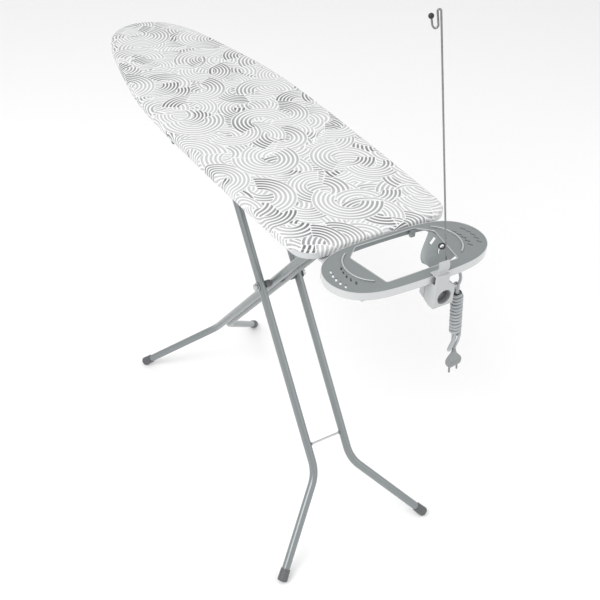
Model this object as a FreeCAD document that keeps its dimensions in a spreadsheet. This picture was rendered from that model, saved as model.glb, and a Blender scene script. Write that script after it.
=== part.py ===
import FreeCAD, Part
import math
import os
import Sketcher
from FreeCAD import Placement, Rotation, Vector

# Folding ironing board with an iron rest, a clamp-on socket and a cord holder.
# Millimetres. X runs from the nose of the board (-) to the iron rest (+), Z is up, and the
# floor is Z = 0. The origin is the middle of the floor rectangle that the whole board covers.

os.makedirs("parts", exist_ok=True)
doc = FreeCAD.newDocument("ironing_board")

# ---------------------------------------------------------------- driving dimensions
SIZES = {
    "board_length": 1195, "board_width": 380, "top_height": 926, "cover_skirt": 22,
    "cover_thick": 1.2, "pad_thick": 5, "mesh_thick": 1.2, "rim_deep": 12, "rim_wall": 1.5,
    "rail_y": 78, "rail_wide": 16, "rail_deep": 10, "brace_wide": 28, "brace_deep": 4,
    "axle_height": 891, "pivot_height": 568, "pivot_x": 140,
    "leg_a_lean": 40.5, "leg_b_lean": 36.1, "tube_r": 10, "tube_wall": 1.2,
    "leg_a_y": 18, "leg_b_y": 51, "bend_r": 90, "bend_height_a": 190, "bend_height_b": 180,
    "spread_a": 192, "spread_b": 213, "leg_a_over": 10,
    "cap_r": 12.5, "cap_length": 30, "cap_round": 4, "cap_over": 6,
    "bolt_r": 4, "fit_gap": 0.05, "axle_r": 5, "top_bar_r": 6, "roller_r": 8, "roller_wide": 8,
    "tray_gap": 7, "tray_depth": 152, "tray_half": 174, "tray_top": 921, "tray_thick": 3,
    "tray_wall": 3, "tray_rim": 14, "trim_thick": 1.2,
    "socket_proud": 12, "socket_y": 4, "socket_wide": 46, "clamp_wide": 29,
    "antenna_r": 1.6, "cord_d": 6, "hank_d": 25, "fold_range": 50,
}

sheet = doc.addObject("Spreadsheet::Sheet", "Sizes")
for row, (alias, value) in enumerate(SIZES.items(), start=1):
    sheet.set("A%d" % row, alias)
    sheet.set("B%d" % row, str(value))
    sheet.setAlias("B%d" % row, alias)
doc.recompute()


def size(alias):
    """The number a cell of the sheet holds."""
    return float(sheet.get(alias))


# ---------------------------------------------------------------- derived places
BOARD_L = size("board_length")
OVERALL = BOARD_L + size("tray_gap") + size("tray_depth") + size("socket_proud")
NOSE_X = -OVERALL / 2
END_X = NOSE_X + BOARD_L
TOP_Z = size("top_height")
PAD_Z = TOP_Z - size("cover_thick")
MESH_Z = PAD_Z - size("pad_thick")
RAIL_Z = MESH_Z - size("mesh_thick")
AXLE_Z = size("axle_height")
TRAY_Z = size("tray_top")
PIVOT = Vector(size("pivot_x"), 0, size("pivot_height"))
LEAN_A = math.radians(size("leg_a_lean"))
LEAN_B = math.radians(size("leg_b_lean"))
ARM = (AXLE_Z - PIVOT.z) / math.cos(LEAN_B)
AXLE = Vector(PIVOT.x + ARM * math.sin(LEAN_B), 0, AXLE_Z)
SLIDER = Vector(PIVOT.x - ARM * math.sin(LEAN_B), 0, AXLE_Z)
DOWN_A = Vector(-math.sin(LEAN_A), 0, -math.cos(LEAN_A))
DOWN_B = Vector(math.sin(LEAN_B), 0, -math.cos(LEAN_B))
SLIDE_TRAVEL = 2 * ARM * (math.cos(math.radians(90 - size("leg_b_lean") - size("fold_range")))
                          - math.sin(LEAN_B))

parts = {}


def keep(name, obj):
    """Gives a finished sub-part the label that names its file."""
    obj.Label = name
    parts[name] = obj
    return obj


def bind(obj, **expressions):
    """Binds properties of an object to cells of the sheet."""
    for prop, expression in expressions.items():
        obj.setExpression(prop, expression)
    return obj


# ---------------------------------------------------------------- primitives and booleans
def box(name, lows, highs):
    """A block between two corners."""
    obj = doc.addObject("Part::Box", name)
    obj.Length = highs[0] - lows[0]
    obj.Width = highs[1] - lows[1]
    obj.Height = highs[2] - lows[2]
    obj.Placement.Base = Vector(*lows)
    return obj


def rod(name, start, end, radius):
    """A round bar between two points; radius is a number or a cell expression."""
    start, end = Vector(*start), Vector(*end)
    obj = doc.addObject("Part::Cylinder", name)
    if isinstance(radius, str):
        obj.setExpression("Radius", radius)
    else:
        obj.Radius = radius
    obj.Height = (end - start).Length
    obj.Placement = Placement(start, Rotation(Vector(0, 0, 1), end - start))
    return obj


def cut(name, base, *tools):
    """The base with every tool taken away."""
    for index, tool in enumerate(tools):
        obj = doc.addObject("Part::Cut", "%s_cut%d" % (name, index))
        obj.Base = base
        obj.Tool = tool
        base = obj
    return base


def fuse(name, *shapes):
    obj = doc.addObject("Part::MultiFuse", name + "_fuse")
    obj.Shapes = list(shapes)
    return obj


def group(name, *shapes):
    """Like pieces that share one node and stay separate solids."""
    obj = doc.addObject("Part::Compound", name + "_group")
    obj.Links = list(shapes)
    return obj


def rounded(name, base, radius, keep_edge):
    """Fillets the edges of base that keep_edge accepts."""
    doc.recompute()
    picked = [(number, radius, radius) for number, edge in enumerate(base.Shape.Edges, start=1)
              if keep_edge(edge)]
    obj = doc.addObject("Part::Fillet", name + "_round")
    obj.Base = base
    obj.Edges = picked
    return obj


def feature(name, shape):
    obj = doc.addObject("Part::Feature", name)
    obj.Shape = shape
    return obj


# ---------------------------------------------------------------- bodies with sketches
def new_body(name):
    return doc.addObject("PartDesign::Body", name + "_body")


def new_sketch(body, role, name):
    """A sketch on one of the body's own origin planes."""
    plane = [f for f in body.Origin.OriginFeatures if f.Role == role][0]
    sketch = body.newObject("Sketcher::SketchObject", name)
    sketch.AttachmentSupport = (plane, "")
    sketch.MapMode = "FlatFace"
    return sketch


def sized(sketch, kind, *where, to):
    """A dimension of a sketch; to is a number or a cell expression."""
    value = to if not isinstance(to, str) else doc_value(to)
    index = sketch.addConstraint(Sketcher.Constraint(kind, *where, value))
    if isinstance(to, str):
        sketch.setExpression("Constraints[%d]" % index, to)


def doc_value(expression):
    """What a cell expression comes to."""
    names = {alias: size(alias) for alias in SIZES}
    plain = expression.replace("Sizes.", "")
    total = 0.0
    for term in plain.replace("-", "+-").split("+"):
        term = term.strip()
        if not term:
            continue
        sign = -1.0 if term.startswith("-") else 1.0
        term = term.lstrip("-").strip()
        product = 1.0
        for factor in term.split("*"):
            factor = factor.strip()
            product *= names[factor] if factor in names else float(factor)
        total += sign * product
    return total


def ring_profile(body, name, outer, wall):
    """Two circles about the origin, in the plane square to the body's X axis."""
    sketch = new_sketch(body, "YZ_Plane", name)
    for radius in (outer, "%s - %s" % (outer, wall)):
        circle = sketch.addGeometry(
            Part.Circle(Vector(0, 0, 0), Vector(0, 0, 1), doc_value(radius)))
        sketch.addConstraint(Sketcher.Constraint("Coincident", circle, 3, -1, 1))
        sized(sketch, "Radius", circle, to=radius)
    return sketch


def leg_path(body, name, straight, length, side):
    """Straight tube, one bend, straight foot: start on the origin and run along X."""
    sketch = new_sketch(body, "XY_Plane", name)
    bend_r = size("bend_r")
    x1, (x3, y3) = straight, length
    # where the bend's arc ends: its tangent there points at the foot
    dx, dy = x3 - x1, y3
    reach = math.hypot(dx, dy - bend_r)
    turn = abs(math.atan2(dx, bend_r - dy) - math.acos(bend_r / reach))
    x2, y2 = x1 + bend_r * math.sin(turn), side * bend_r * (1 - math.cos(turn))
    middle = Vector(x1 + bend_r * math.sin(turn / 2), side * bend_r * (1 - math.cos(turn / 2)), 0)
    first = sketch.addGeometry(Part.LineSegment(Vector(0, 0, 0), Vector(x1, 0, 0)))
    bend = sketch.addGeometry(Part.Arc(Vector(x1, 0, 0), middle, Vector(x2, y2, 0)))
    last = sketch.addGeometry(Part.LineSegment(Vector(x2, y2, 0), Vector(x3, side * y3, 0)))
    start_pos, end_pos = (1, 2) if side > 0 else (2, 1)
    sketch.addConstraint(Sketcher.Constraint("Coincident", first, 1, -1, 1))
    sketch.addConstraint(Sketcher.Constraint("Horizontal", first))
    sketch.addConstraint(Sketcher.Constraint("Tangent", first, 2, bend, start_pos))
    sketch.addConstraint(Sketcher.Constraint("Tangent", bend, end_pos, last, 1))
    sized(sketch, "Radius", bend, to="Sizes.bend_r")
    sized(sketch, "DistanceX", first, 1, first, 2, to=x1)
    sized(sketch, "DistanceX", -1, 1, last, 2, to=x3)
    sized(sketch, "DistanceY", -1, 1, last, 2, to=side * y3)
    return sketch


def through_hole(body, name, role, x, y, radius, depth=200):
    """A round hole right through, its axis square to an origin plane."""
    sketch = new_sketch(body, role, name)
    circle = sketch.addGeometry(Part.Circle(Vector(x, y, 0), Vector(0, 0, 1), doc_value(radius)))
    sized(sketch, "DistanceX", -1, 1, circle, 3, to=x)
    if abs(y) > 1e-9:
        sized(sketch, "DistanceY", -1, 1, circle, 3, to=y)
    else:
        sketch.addConstraint(Sketcher.Constraint("PointOnObject", circle, 3, -1))
    sized(sketch, "Radius", circle, to=radius)
    hole = body.newObject("PartDesign::Pocket", name + "_hole")
    hole.Profile = sketch
    hole.Length = depth
    hole.Midplane = True
    return hole


# ---------------------------------------------------------------- legs
class Leg:
    """The plane that one leg frame lies in: distances down the leg, and sideways along Y."""

    def __init__(self, name, top, down, straight_y, spread, bend_height):
        self.name, self.top, self.down = name, top, down
        self.tube_y = straight_y
        slope = -down.z
        self.bend = (top.z - bend_height) / slope
        # the cap's rounded end touches the floor at one point: find the height of its end
        run, rise = 1.0, 0.0
        for _ in range(20):
            toe_z = self.toe_height(run, rise, slope)
            toe = (top.z - toe_z) / slope
            run, rise = toe - self.bend, spread - straight_y
            length = math.hypot(run, rise)
            run, rise = run / length, rise / length
        self.foot_run, self.foot_rise = run, rise
        self.toe, self.toe_y = toe, spread
        over = size("cap_over")
        self.end, self.end_y = toe - over * run, spread - over * rise
        turn = math.atan2(rise, run)
        self.straight = self.bend - size("bend_r") * math.tan(turn / 2)

    @staticmethod
    def toe_height(run, rise, slope):
        """Height of the middle of the cap's end face when its round touches the floor."""
        steep = run * slope
        edge = size("cap_round")
        flat = size("cap_r") - edge
        return edge + flat * math.sqrt(1 - steep * steep) - edge * steep

    def frame(self, y=0.0):
        """Local X runs down the leg, local Y is +Y."""
        z_axis = self.down.cross(Vector(0, 1, 0))
        turned = Rotation(self.down, Vector(0, 1, 0), z_axis, "XYZ")
        return Placement(Vector(self.top.x, y, self.top.z), turned)

    def at(self, run, y):
        return Vector(self.top.x, y, self.top.z) + self.down * run

    def height(self, run):
        return self.top.z + self.down.z * run


LEG_A_TOP = PIVOT - DOWN_A * (ARM + size("leg_a_over"))
LEG_A = Leg("leg_a", LEG_A_TOP, DOWN_A, size("leg_a_y"), size("spread_a"), size("bend_height_a"))
LEG_B = Leg("leg_b", SLIDER, DOWN_B, size("leg_b_y"), size("spread_b"), size("bend_height_b"))
PIVOT_ON = {"leg_a": ARM + size("leg_a_over"), "leg_b": ARM}


def leg_tube(leg, side, label, top_hole, pivot_hole):
    """One leg: a tube bent outward above the foot, with its cross holes.

    top_hole is None where the top end carries a welded ear instead of a bar."""
    body = new_body(label)
    profile = ring_profile(body, label + "_ring", "Sizes.tube_r", "Sizes.tube_wall")
    path = leg_path(body, label + "_path", leg.straight, (leg.end, leg.end_y - leg.tube_y), side)
    tube = body.newObject("PartDesign::AdditivePipe", label + "_tube")
    tube.Profile = profile
    tube.Spine = (path, [])
    doc.recompute()
    through_hole(body, label + "_pivot", "XZ_Plane", PIVOT_ON[leg.name], 0, pivot_hole, 40)
    if top_hole:
        through_hole(body, label + "_top", "XZ_Plane", 0, 0, top_hole, 40)
    body.Placement = leg.frame(side * leg.tube_y)
    return keep(label, body)


def foot_cap(leg, side, label):
    """A plastic cap over the end of a leg, round at its edge, with a socket for the tube."""
    body = new_body(label)
    sketch = new_sketch(body, "XZ_Plane", label + "_section")
    over, length = size("cap_over"), size("cap_length")
    tube_r, cap_r, edge = size("tube_r"), size("cap_r"), size("cap_round")
    back = over - length
    corner = Vector(over - edge + edge * math.sqrt(0.5), cap_r - edge + edge * math.sqrt(0.5), 0)
    outline = [
        Part.LineSegment(Vector(0, 0, 0), Vector(over, 0, 0)),
        Part.LineSegment(Vector(over, 0, 0), Vector(over, cap_r - edge, 0)),
        Part.Arc(Vector(over, cap_r - edge, 0), corner, Vector(over - edge, cap_r, 0)),
        Part.LineSegment(Vector(over - edge, cap_r, 0), Vector(back, cap_r - 0.8, 0)),
        Part.LineSegment(Vector(back, cap_r - 0.8, 0), Vector(back, tube_r, 0)),
        Part.LineSegment(Vector(back, tube_r, 0), Vector(0, tube_r, 0)),
        Part.LineSegment(Vector(0, tube_r, 0), Vector(0, 0, 0)),
    ]
    for line in outline:
        sketch.addGeometry(line)
    turn = body.newObject("PartDesign::Revolution", label + "_turn")
    turn.Profile = sketch
    turn.ReferenceAxis = (sketch, ["H_Axis"])
    turn.Angle = 360
    end = leg.at(leg.end, side * leg.end_y)
    along = leg.down * leg.foot_run + Vector(0, side * leg.foot_rise, 0)
    body.Placement = Placement(end, Rotation(Vector(1, 0, 0), along))
    return keep(label, body)


for side, hand in ((-1, "left"), (1, "right")):
    leg_tube(LEG_A, side, "leg_a_tube_" + hand, None, "Sizes.bolt_r")
    foot_cap(LEG_A, side, "leg_a_foot_" + hand)
    leg_tube(LEG_B, side, "leg_b_tube_" + hand, "Sizes.top_bar_r", "Sizes.bolt_r + Sizes.fit_gap")
    foot_cap(LEG_B, side, "leg_b_foot_" + hand)


# ---------------------------------------------------------------- leg hardware
def ring(name, centre, axis, length, outer, inner):
    """A washer, bush or roller: a short round tube that starts at centre."""
    start = Vector(*centre)
    end = start + Vector(*axis) * length
    beyond = Vector(*axis)
    return cut(name, rod(name + "_outer", start, end, outer),
               rod(name + "_bore", start - beyond, end + beyond, inner))


def across(point, y):
    """The point moved to a place across the board."""
    return (point.x, y, point.z)


AXLE_HALF = 64
BOLT_HALF = 70
A_OUT = size("leg_a_y") + size("tube_r")
B_IN = size("leg_b_y") - size("tube_r")
B_OUT = size("leg_b_y") + size("tube_r")
EAR_THICK = 3
EAR_WIDE = 18
BOLT_HEAD = 4
NUT_FROM = BOLT_HALF - 7
NUT_THICK = 6
WASHER_THICK = 1.5
WASHER_R = 11
SPACER_R = 9
WASHER_GAP = 0.4
SPACER_GAP = 0.01

bolt_shank = rod("pivot_shank", across(PIVOT, BOLT_HEAD - BOLT_HALF), across(PIVOT, NUT_FROM),
                 "Sizes.bolt_r")
bolt_head = rod("pivot_head", across(PIVOT, -BOLT_HALF), across(PIVOT, BOLT_HEAD - BOLT_HALF), 8)
keep("pivot_bolt", fuse("pivot_bolt", bolt_shank, bolt_head))
keep("pivot_nut", ring("pivot_nut", across(PIVOT, NUT_FROM + 0.02), (0, 1, 0), NUT_THICK, 7.5, 3.9))


def link_plate(label, start, end, y, thick, wide, holes):
    """A flat link with round ends, standing in the X-Z plane, bored at its ends."""
    body = new_body(label)
    sketch = new_sketch(body, "XY_Plane", label + "_outline")
    span, half = (end - start).Length, wide / 2
    first = sketch.addGeometry(Part.LineSegment(Vector(0, half, 0), Vector(span, half, 0)))
    sketch.addGeometry(Part.Arc(Vector(span, half, 0), Vector(span + half, 0, 0), Vector(span, -half, 0)))
    sketch.addGeometry(Part.LineSegment(Vector(span, -half, 0), Vector(0, -half, 0)))
    sketch.addGeometry(Part.Arc(Vector(0, -half, 0), Vector(-half, 0, 0), Vector(0, half, 0)))
    sized(sketch, "DistanceX", first, 1, first, 2, to=span)
    for at, radius in holes:
        circle = sketch.addGeometry(Part.Circle(Vector(at, 0, 0), Vector(0, 0, 1), doc_value(radius)))
        sized(sketch, "Radius", circle, to=radius)
    pad = body.newObject("PartDesign::Pad", label + "_pad")
    pad.Profile = sketch
    pad.Length = thick
    along = end - start
    turned = Rotation(along, Vector(0, 1, 0).cross(along), Vector(0, 1, 0), "XYZ")
    body.Placement = Placement(Vector(start.x, y, start.z), turned)
    return keep(label, body)


spacers, washers, rollers = [], [], []
EAR_FOOT = PIVOT - DOWN_A * (ARM * math.cos(LEAN_A - LEAN_B))
SPACER_LONG = B_IN - A_OUT - WASHER_GAP - 2 * SPACER_GAP
ROLLER_OUT = size("rail_y") - 2


def mirrored(side, near, length):
    """Where a piece starts along Y, on the right or the left, near being its distance from the middle."""
    return near if side > 0 else -near - length


for side, hand in ((-1, "left"), (1, "right")):
    link_plate("leg_a_ear_" + hand, AXLE, EAR_FOOT, mirrored(side, A_OUT, EAR_THICK),
               EAR_THICK, EAR_WIDE, [(0, "Sizes.axle_r")])
    spacer_from = across(PIVOT, mirrored(side, A_OUT + SPACER_GAP, SPACER_LONG))
    spacers.append(ring("pivot_spacer_" + hand, spacer_from, (0, 1, 0), SPACER_LONG, SPACER_R,
                        "Sizes.bolt_r"))
    washer_from = across(PIVOT, mirrored(side, B_OUT + WASHER_GAP, WASHER_THICK))
    washers.append(ring("pivot_washer_" + hand, washer_from, (0, 1, 0), WASHER_THICK, WASHER_R,
                        "Sizes.bolt_r"))
    roller_from = mirrored(side, ROLLER_OUT - size("roller_wide"), size("roller_wide"))
    rollers.append(ring("slide_roller_" + hand, across(SLIDER, roller_from), (0, 1, 0),
                        size("roller_wide"), "Sizes.roller_r", "Sizes.top_bar_r"))
keep("pivot_spacers", group("pivot_spacers", *spacers))
keep("pivot_washers", group("pivot_washers", *washers))
keep("slide_rollers", group("slide_rollers", *rollers))
A_IN = size("leg_a_y") - size("tube_r")
keep("leg_a_spacer", ring("leg_a_spacer", across(PIVOT, -A_IN), (0, 1, 0), 2 * A_IN, 7, "Sizes.bolt_r"))
keep("leg_a_axle", rod("leg_a_axle_bar", across(AXLE, -AXLE_HALF), across(AXLE, AXLE_HALF), "Sizes.axle_r"))
keep("leg_b_top_bar", rod("leg_b_slide_bar", across(SLIDER, -ROLLER_OUT), across(SLIDER, ROLLER_OUT),
                          "Sizes.top_bar_r"))
STAY_DROP = 653
CROSS_ROD = LEG_B.at(STAY_DROP / math.cos(LEAN_B), 0)
keep("leg_b_cross_rod", rod("leg_b_stay", across(CROSS_ROD, -B_IN), across(CROSS_ROD, B_IN), 2.5))


# ---------------------------------------------------------------- board top
NOSE_SIDE = [(5, 31), (22, 65), (52, 92), (93, 114), (150, 132), (222, 147), (300, 162), (380, 176),
             (470, 186), (600, 190), (850, 186), (1020, 180)]
CORNER_R = 44
CORNER_Y = 131


def side_curve(points):
    """A smooth curve that meets both corner arcs of the wide end."""
    curve = Part.BSplineCurve()
    curve.interpolate(Points=points, InitialTangent=Vector(-1, 0, 0), FinalTangent=Vector(1, 0, 0))
    return curve


def board_wire(inset, z):
    """Plan outline of the board, inset all round, as a closed wire at a height."""
    widen = size("board_width") / 380.0
    side_y = (CORNER_Y + CORNER_R) * widen
    points = [Vector(END_X - CORNER_R, side_y, z)]
    points += [Vector(NOSE_X + d, w * widen, z) for d, w in NOSE_SIDE[::-1]]
    points += [Vector(NOSE_X, 0, z)]
    points += [Vector(p.x, -p.y, z) for p in points[-2::-1]]
    curve = side_curve(points)
    if inset:
        tangents = [curve.tangent(curve.parameter(p))[0] for p in points]
        points = [p + Vector(-t.y, t.x, 0).normalize() * inset for p, t in zip(points, tangents)]
        curve = side_curve(points)
    centre = Vector(END_X - CORNER_R, side_y - CORNER_R, z)
    radius = CORNER_R - inset
    reach = radius * math.sqrt(0.5)
    end_x = centre.x + radius
    ends = [Vector(centre.x, -centre.y - radius, z), Vector(end_x, -centre.y, z),
            Vector(end_x, centre.y, z), Vector(centre.x, centre.y + radius, z)]
    corners = [Vector(centre.x + reach, y, z) for y in (-centre.y - reach, centre.y + reach)]
    return Part.Wire([curve.toShape(), Part.Arc(ends[0], corners[0], ends[1]).toShape(),
                      Part.LineSegment(ends[1], ends[2]).toShape(),
                      Part.Arc(ends[2], corners[1], ends[3]).toShape()])


def board_plate(inset, low, high):
    return Part.Face(board_wire(inset, low)).extrude(Vector(0, 0, high - low))


def band(outer, inner, low, high):
    """A wall that follows the board's outline."""
    return board_plate(outer, low, high).cut(board_plate(inner, low - 1, high + 1))


HEM_WIDE = 14
SHEET_GAP = 1.6
FLANGE_WIDE = 9
skirt_low = TOP_Z - size("cover_skirt")
cover_shape = board_plate(0, skirt_low, TOP_Z)
cover_shape = cover_shape.cut(board_plate(size("cover_thick"), skirt_low + 1, PAD_Z))
cover_shape = cover_shape.cut(board_plate(HEM_WIDE, skirt_low - 1, skirt_low + 2))
keep("cover", feature("cover_cloth", cover_shape))
keep("foam_pad", feature("foam_sheet", board_plate(SHEET_GAP, MESH_Z, PAD_Z)))
keep("mesh_top", feature("mesh_sheet", board_plate(SHEET_GAP, RAIL_Z, MESH_Z)))
rim_low = RAIL_Z - size("rim_deep")
rim_shape = band(SHEET_GAP, SHEET_GAP + size("rim_wall"), rim_low, RAIL_Z)
rim_shape = rim_shape.fuse(band(SHEET_GAP, FLANGE_WIDE, rim_low, rim_low + size("rim_wall")))
keep("board_rim", feature("rim_band", rim_shape.removeSplitter()))

# flat braces across the board: distance from the nose, and half the length of each
BRACES = [(120, 112), (360, 164), (623, 182), (903, 178), (1165, 155)]
BRACE_Z = RAIL_Z - size("brace_deep")
BRACE_HALF = size("brace_wide") / 2
braces = []
for index, (along, half) in enumerate(BRACES):
    brace = box("brace_%d" % index, (NOSE_X + along - BRACE_HALF, -half, BRACE_Z),
                (NOSE_X + along + BRACE_HALF, half, RAIL_Z))
    braces.append(bind(brace, Length="Sizes.brace_wide", Height="Sizes.brace_deep"))
keep("cross_braces", group("cross_braces", *braces))

RAIL_Y = size("rail_y")
RAIL_LOW = BRACE_Z - size("rail_deep")
RAIL_FROM, RAIL_TO = NOSE_X + 106, END_X - 16
RAIL_WALL = 1.5
for side, hand in ((-1, "left"), (1, "right")):
    y = side * RAIL_Y
    half = size("rail_wide") / 2
    solid = box("rail_solid_" + hand, (RAIL_FROM, y - half, RAIL_LOW), (RAIL_TO, y + half, BRACE_Z))
    bind(solid, Width="Sizes.rail_wide", Height="Sizes.rail_deep")
    hollow = box("rail_hollow_" + hand, (RAIL_FROM - 1, y - half + RAIL_WALL, RAIL_LOW - 1),
                 (RAIL_TO + 1, y + half - RAIL_WALL, BRACE_Z - RAIL_WALL))
    keep("rail_" + hand, cut("rail_" + hand, solid, hollow))

RACK_WALL = 1.5
RACK_GAP = 0.5
RACK_LOW = AXLE_Z - size("roller_r") - RACK_GAP - RACK_WALL
RACK_LENGTH = SLIDE_TRAVEL + 60
RACK_X = SLIDER.x - SLIDE_TRAVEL - 30
RACK_NOTCHES = 7


def slide_rack(side, hand):
    """A notched channel that the scissor's sliding bar runs in."""
    label = "height_rack_" + hand
    body = new_body(label)
    sketch = new_sketch(body, "YZ_Plane", label + "_section")
    web, lip = RAIL_Y + 1.5, RAIL_Y - 12
    inner = web - RACK_WALL
    heights = (RACK_LOW, RACK_LOW + RACK_WALL, RAIL_LOW)
    corners = [(lip, heights[0]), (web, heights[0]), (web, heights[2]), (inner, heights[2]),
               (inner, heights[1]), (lip, heights[1])]
    corners = [Vector(side * y, z, 0) for y, z in corners]
    for start, end in zip(corners, corners[1:] + corners[:1]):
        sketch.addGeometry(Part.LineSegment(start, end))
    pad = body.newObject("PartDesign::Pad", label + "_pad")
    pad.Profile = sketch
    pad.Length = RACK_LENGTH
    notch = new_sketch(body, "XZ_Plane", label + "_notch")
    circle = notch.addGeometry(Part.Circle(Vector(40, AXLE_Z, 0), Vector(0, 0, 1), 4.5))
    sized(notch, "Radius", circle, to=4.5)
    pocket = body.newObject("PartDesign::Pocket", label + "_hole")
    pocket.Profile = notch
    pocket.Length = 200
    pocket.Midplane = True
    row = body.newObject("PartDesign::LinearPattern", label + "_row")
    row.Originals = [pocket]
    row.Direction = (notch, ["H_Axis"])
    row.Length = RACK_LENGTH - 80
    row.Occurrences = RACK_NOTCHES
    body.Tip = row
    body.Placement.Base = Vector(RACK_X, 0, 0)
    return keep(label, body)


for side, hand in ((-1, "left"), (1, "right")):
    slide_rack(side, hand)

BRACKET_Y = 56
BRACKET_WALL = 3
BRACKET_HALF = 22
CHEEK_HALF = 14
BRACKET_OUT = RAIL_Y + size("rail_wide") / 2
BRACKET_LOW = AXLE_Z - 12
AXLE_CLIP_R = 8
CLIP_THICK = 2
CLIP_GAP = 0.6
bracket = box("bracket_block", (AXLE.x - BRACKET_HALF, -BRACKET_OUT, RAIL_LOW - BRACKET_WALL),
              (AXLE.x + BRACKET_HALF, BRACKET_OUT, RAIL_LOW))
cheeks, clips = [], []
for side, hand in ((-1, "left"), (1, "right")):
    y = mirrored(side, BRACKET_Y, BRACKET_WALL)
    cheeks.append(box("bracket_cheek_" + hand, (AXLE.x - CHEEK_HALF, y, BRACKET_LOW),
                      (AXLE.x + CHEEK_HALF, y + BRACKET_WALL, RAIL_LOW - 1)))
    clip_from = mirrored(side, BRACKET_Y + BRACKET_WALL + CLIP_GAP, CLIP_THICK)
    clips.append(ring("axle_clip_" + hand, across(AXLE, clip_from), (0, 1, 0), CLIP_THICK, AXLE_CLIP_R,
                      "Sizes.axle_r"))
bracket = fuse("hinge_bracket", bracket, *cheeks)
bore = rod("bracket_bore", across(AXLE, -90), across(AXLE, 90), "Sizes.axle_r + Sizes.fit_gap")
keep("hinge_bracket", cut("hinge_bracket", bracket, bore))
keep("axle_clips", group("axle_clips", *clips))


# ---------------------------------------------------------------- bent bars and cords
def bent_path(points, radii):
    """Straight runs joined by tangent arcs, one arc radius for each inner point."""
    points = [Vector(*p) for p in points]
    edges, start = [], points[0]
    for before, here, after, radius in zip(points, points[1:], points[2:], radii):
        back, ahead = (before - here).normalize(), (after - here).normalize()
        turn = math.pi - back.getAngle(ahead)
        reach = radius * math.tan(turn / 2)
        first, last = here + back * reach, here + ahead * reach
        inward = (back + ahead).normalize()
        middle = here + inward * (radius / math.cos(turn / 2) - radius)
        edges.append(Part.LineSegment(start, first).toShape())
        edges.append(Part.Arc(first, middle, last).toShape())
        start = last
    edges.append(Part.LineSegment(start, points[-1]).toShape())
    return Part.Wire(edges)


def swept(path, radius):
    """A round bar along a path."""
    start = path.Edges[0].valueAt(path.Edges[0].FirstParameter)
    ahead = path.Edges[0].tangentAt(path.Edges[0].FirstParameter)
    circle = Part.Wire([Part.Circle(start, ahead, radius).toShape()])
    bar = path.makePipeShell([circle], True, False)
    share = bar.Volume / (math.pi * radius ** 2 * path.Length)
    if abs(share - 1) > 0.01:
        raise RuntimeError("a bar %.0f mm long has %.3f of its volume" % (path.Length, share))
    return bar


# ---------------------------------------------------------------- release lever
LEVER_X = SLIDER.x + 46
LEVER_Z = AXLE_Z + 6
LEVER_R = 3
GRIP_R = 6.5
GRIP_LONG, GRIP_BORE = 36, 30
lever_points = [(LEVER_X, 66, LEVER_Z), (LEVER_X, -100, LEVER_Z), (LEVER_X - 20, -122, LEVER_Z - 8),
                (LEVER_X - 20, -166, LEVER_Z - 14)]
keep("release_lever", feature("lever_rod", swept(bent_path(lever_points, [14, 14]), LEVER_R)))
lever_end = Vector(*lever_points[3])
grip_axis = (lever_end - Vector(*lever_points[2])).normalize()
grip_start = lever_end - grip_axis * GRIP_BORE
grip = cut("lever_grip", rod("grip_outer", grip_start, grip_start + grip_axis * GRIP_LONG, GRIP_R),
           rod("grip_bore", grip_start - grip_axis, grip_start + grip_axis * GRIP_BORE, LEVER_R))
GRIP_ROUND = 2
keep("lever_grip", rounded("lever_grip", grip, GRIP_ROUND,
                           lambda edge: abs(edge.Length - 2 * math.pi * GRIP_R) < 0.5))
bearings = []
for side, hand in ((-1, "left"), (1, "right")):
    y = side * RAIL_Y
    block = box("lever_block_" + hand, (LEVER_X - 8, y - 5, LEVER_Z - 6), (LEVER_X + 8, y + 5, RAIL_LOW))
    bore = rod("lever_bore_" + hand, (LEVER_X, y - 20, LEVER_Z), (LEVER_X, y + 20, LEVER_Z), LEVER_R + 0.05)
    bearings.append(cut("lever_bearing_" + hand, block, bore))
keep("lever_bearings", group("lever_bearings", *bearings))
HOOK_Y = 36
HOOK_THICK = 3
HOOK_LOW, HOOK_HIGH = LEVER_Z + 1.2, LEVER_Z + 6
hooks = []
for side, hand in ((-1, "left"), (1, "right")):
    y = mirrored(side, HOOK_Y - HOOK_THICK, HOOK_THICK)
    plate = box("hook_" + hand, (SLIDER.x - 12, y, HOOK_LOW), (LEVER_X + 6, y + HOOK_THICK, HOOK_HIGH))
    eye = ring("hook_eye_" + hand, (LEVER_X, y, LEVER_Z), (0, 1, 0), HOOK_THICK, 6, LEVER_R)
    clear = rod("hook_clear_rod_" + hand, (LEVER_X, y - 1, LEVER_Z), (LEVER_X, y + 4, LEVER_Z), 5)
    hooks.append(fuse("hook_" + hand, cut("hook_clear_" + hand, plate, clear), eye))
keep("lock_hooks", group("lock_hooks", *hooks))


# ---------------------------------------------------------------- iron rest
TRAY_BACK = END_X + size("tray_gap")
TRAY_FRONT = TRAY_BACK + size("tray_depth")
TRAY_X = (TRAY_BACK + TRAY_FRONT) / 2
TRAY_LOW = TRAY_Z - size("tray_rim")
PLATE_LOW = TRAY_Z - size("tray_thick")
SQUARENESS = 0.51


def rest_wire(centre_x, half_x, half_y, z, steps=6):
    """The rest's plan: an oval with flattened ends."""
    points = []
    for k in range(4 * steps):
        turn = math.pi * (k + 0.5) / (2 * steps)
        c, s = math.cos(turn), math.sin(turn)
        points.append(Vector(centre_x + half_x * s, math.copysign(half_y * abs(c) ** SQUARENESS, c), z))
    curve = Part.BSplineCurve()
    curve.interpolate(Points=points, PeriodicFlag=True)
    return Part.Wire([curve.toShape()])


def rest_plate(inset, low, high):
    half_x, half_y = size("tray_depth") / 2 - inset, size("tray_half") - inset
    return Part.Face(rest_wire(TRAY_X, half_x, half_y, low)).extrude(Vector(0, 0, high - low))


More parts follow.
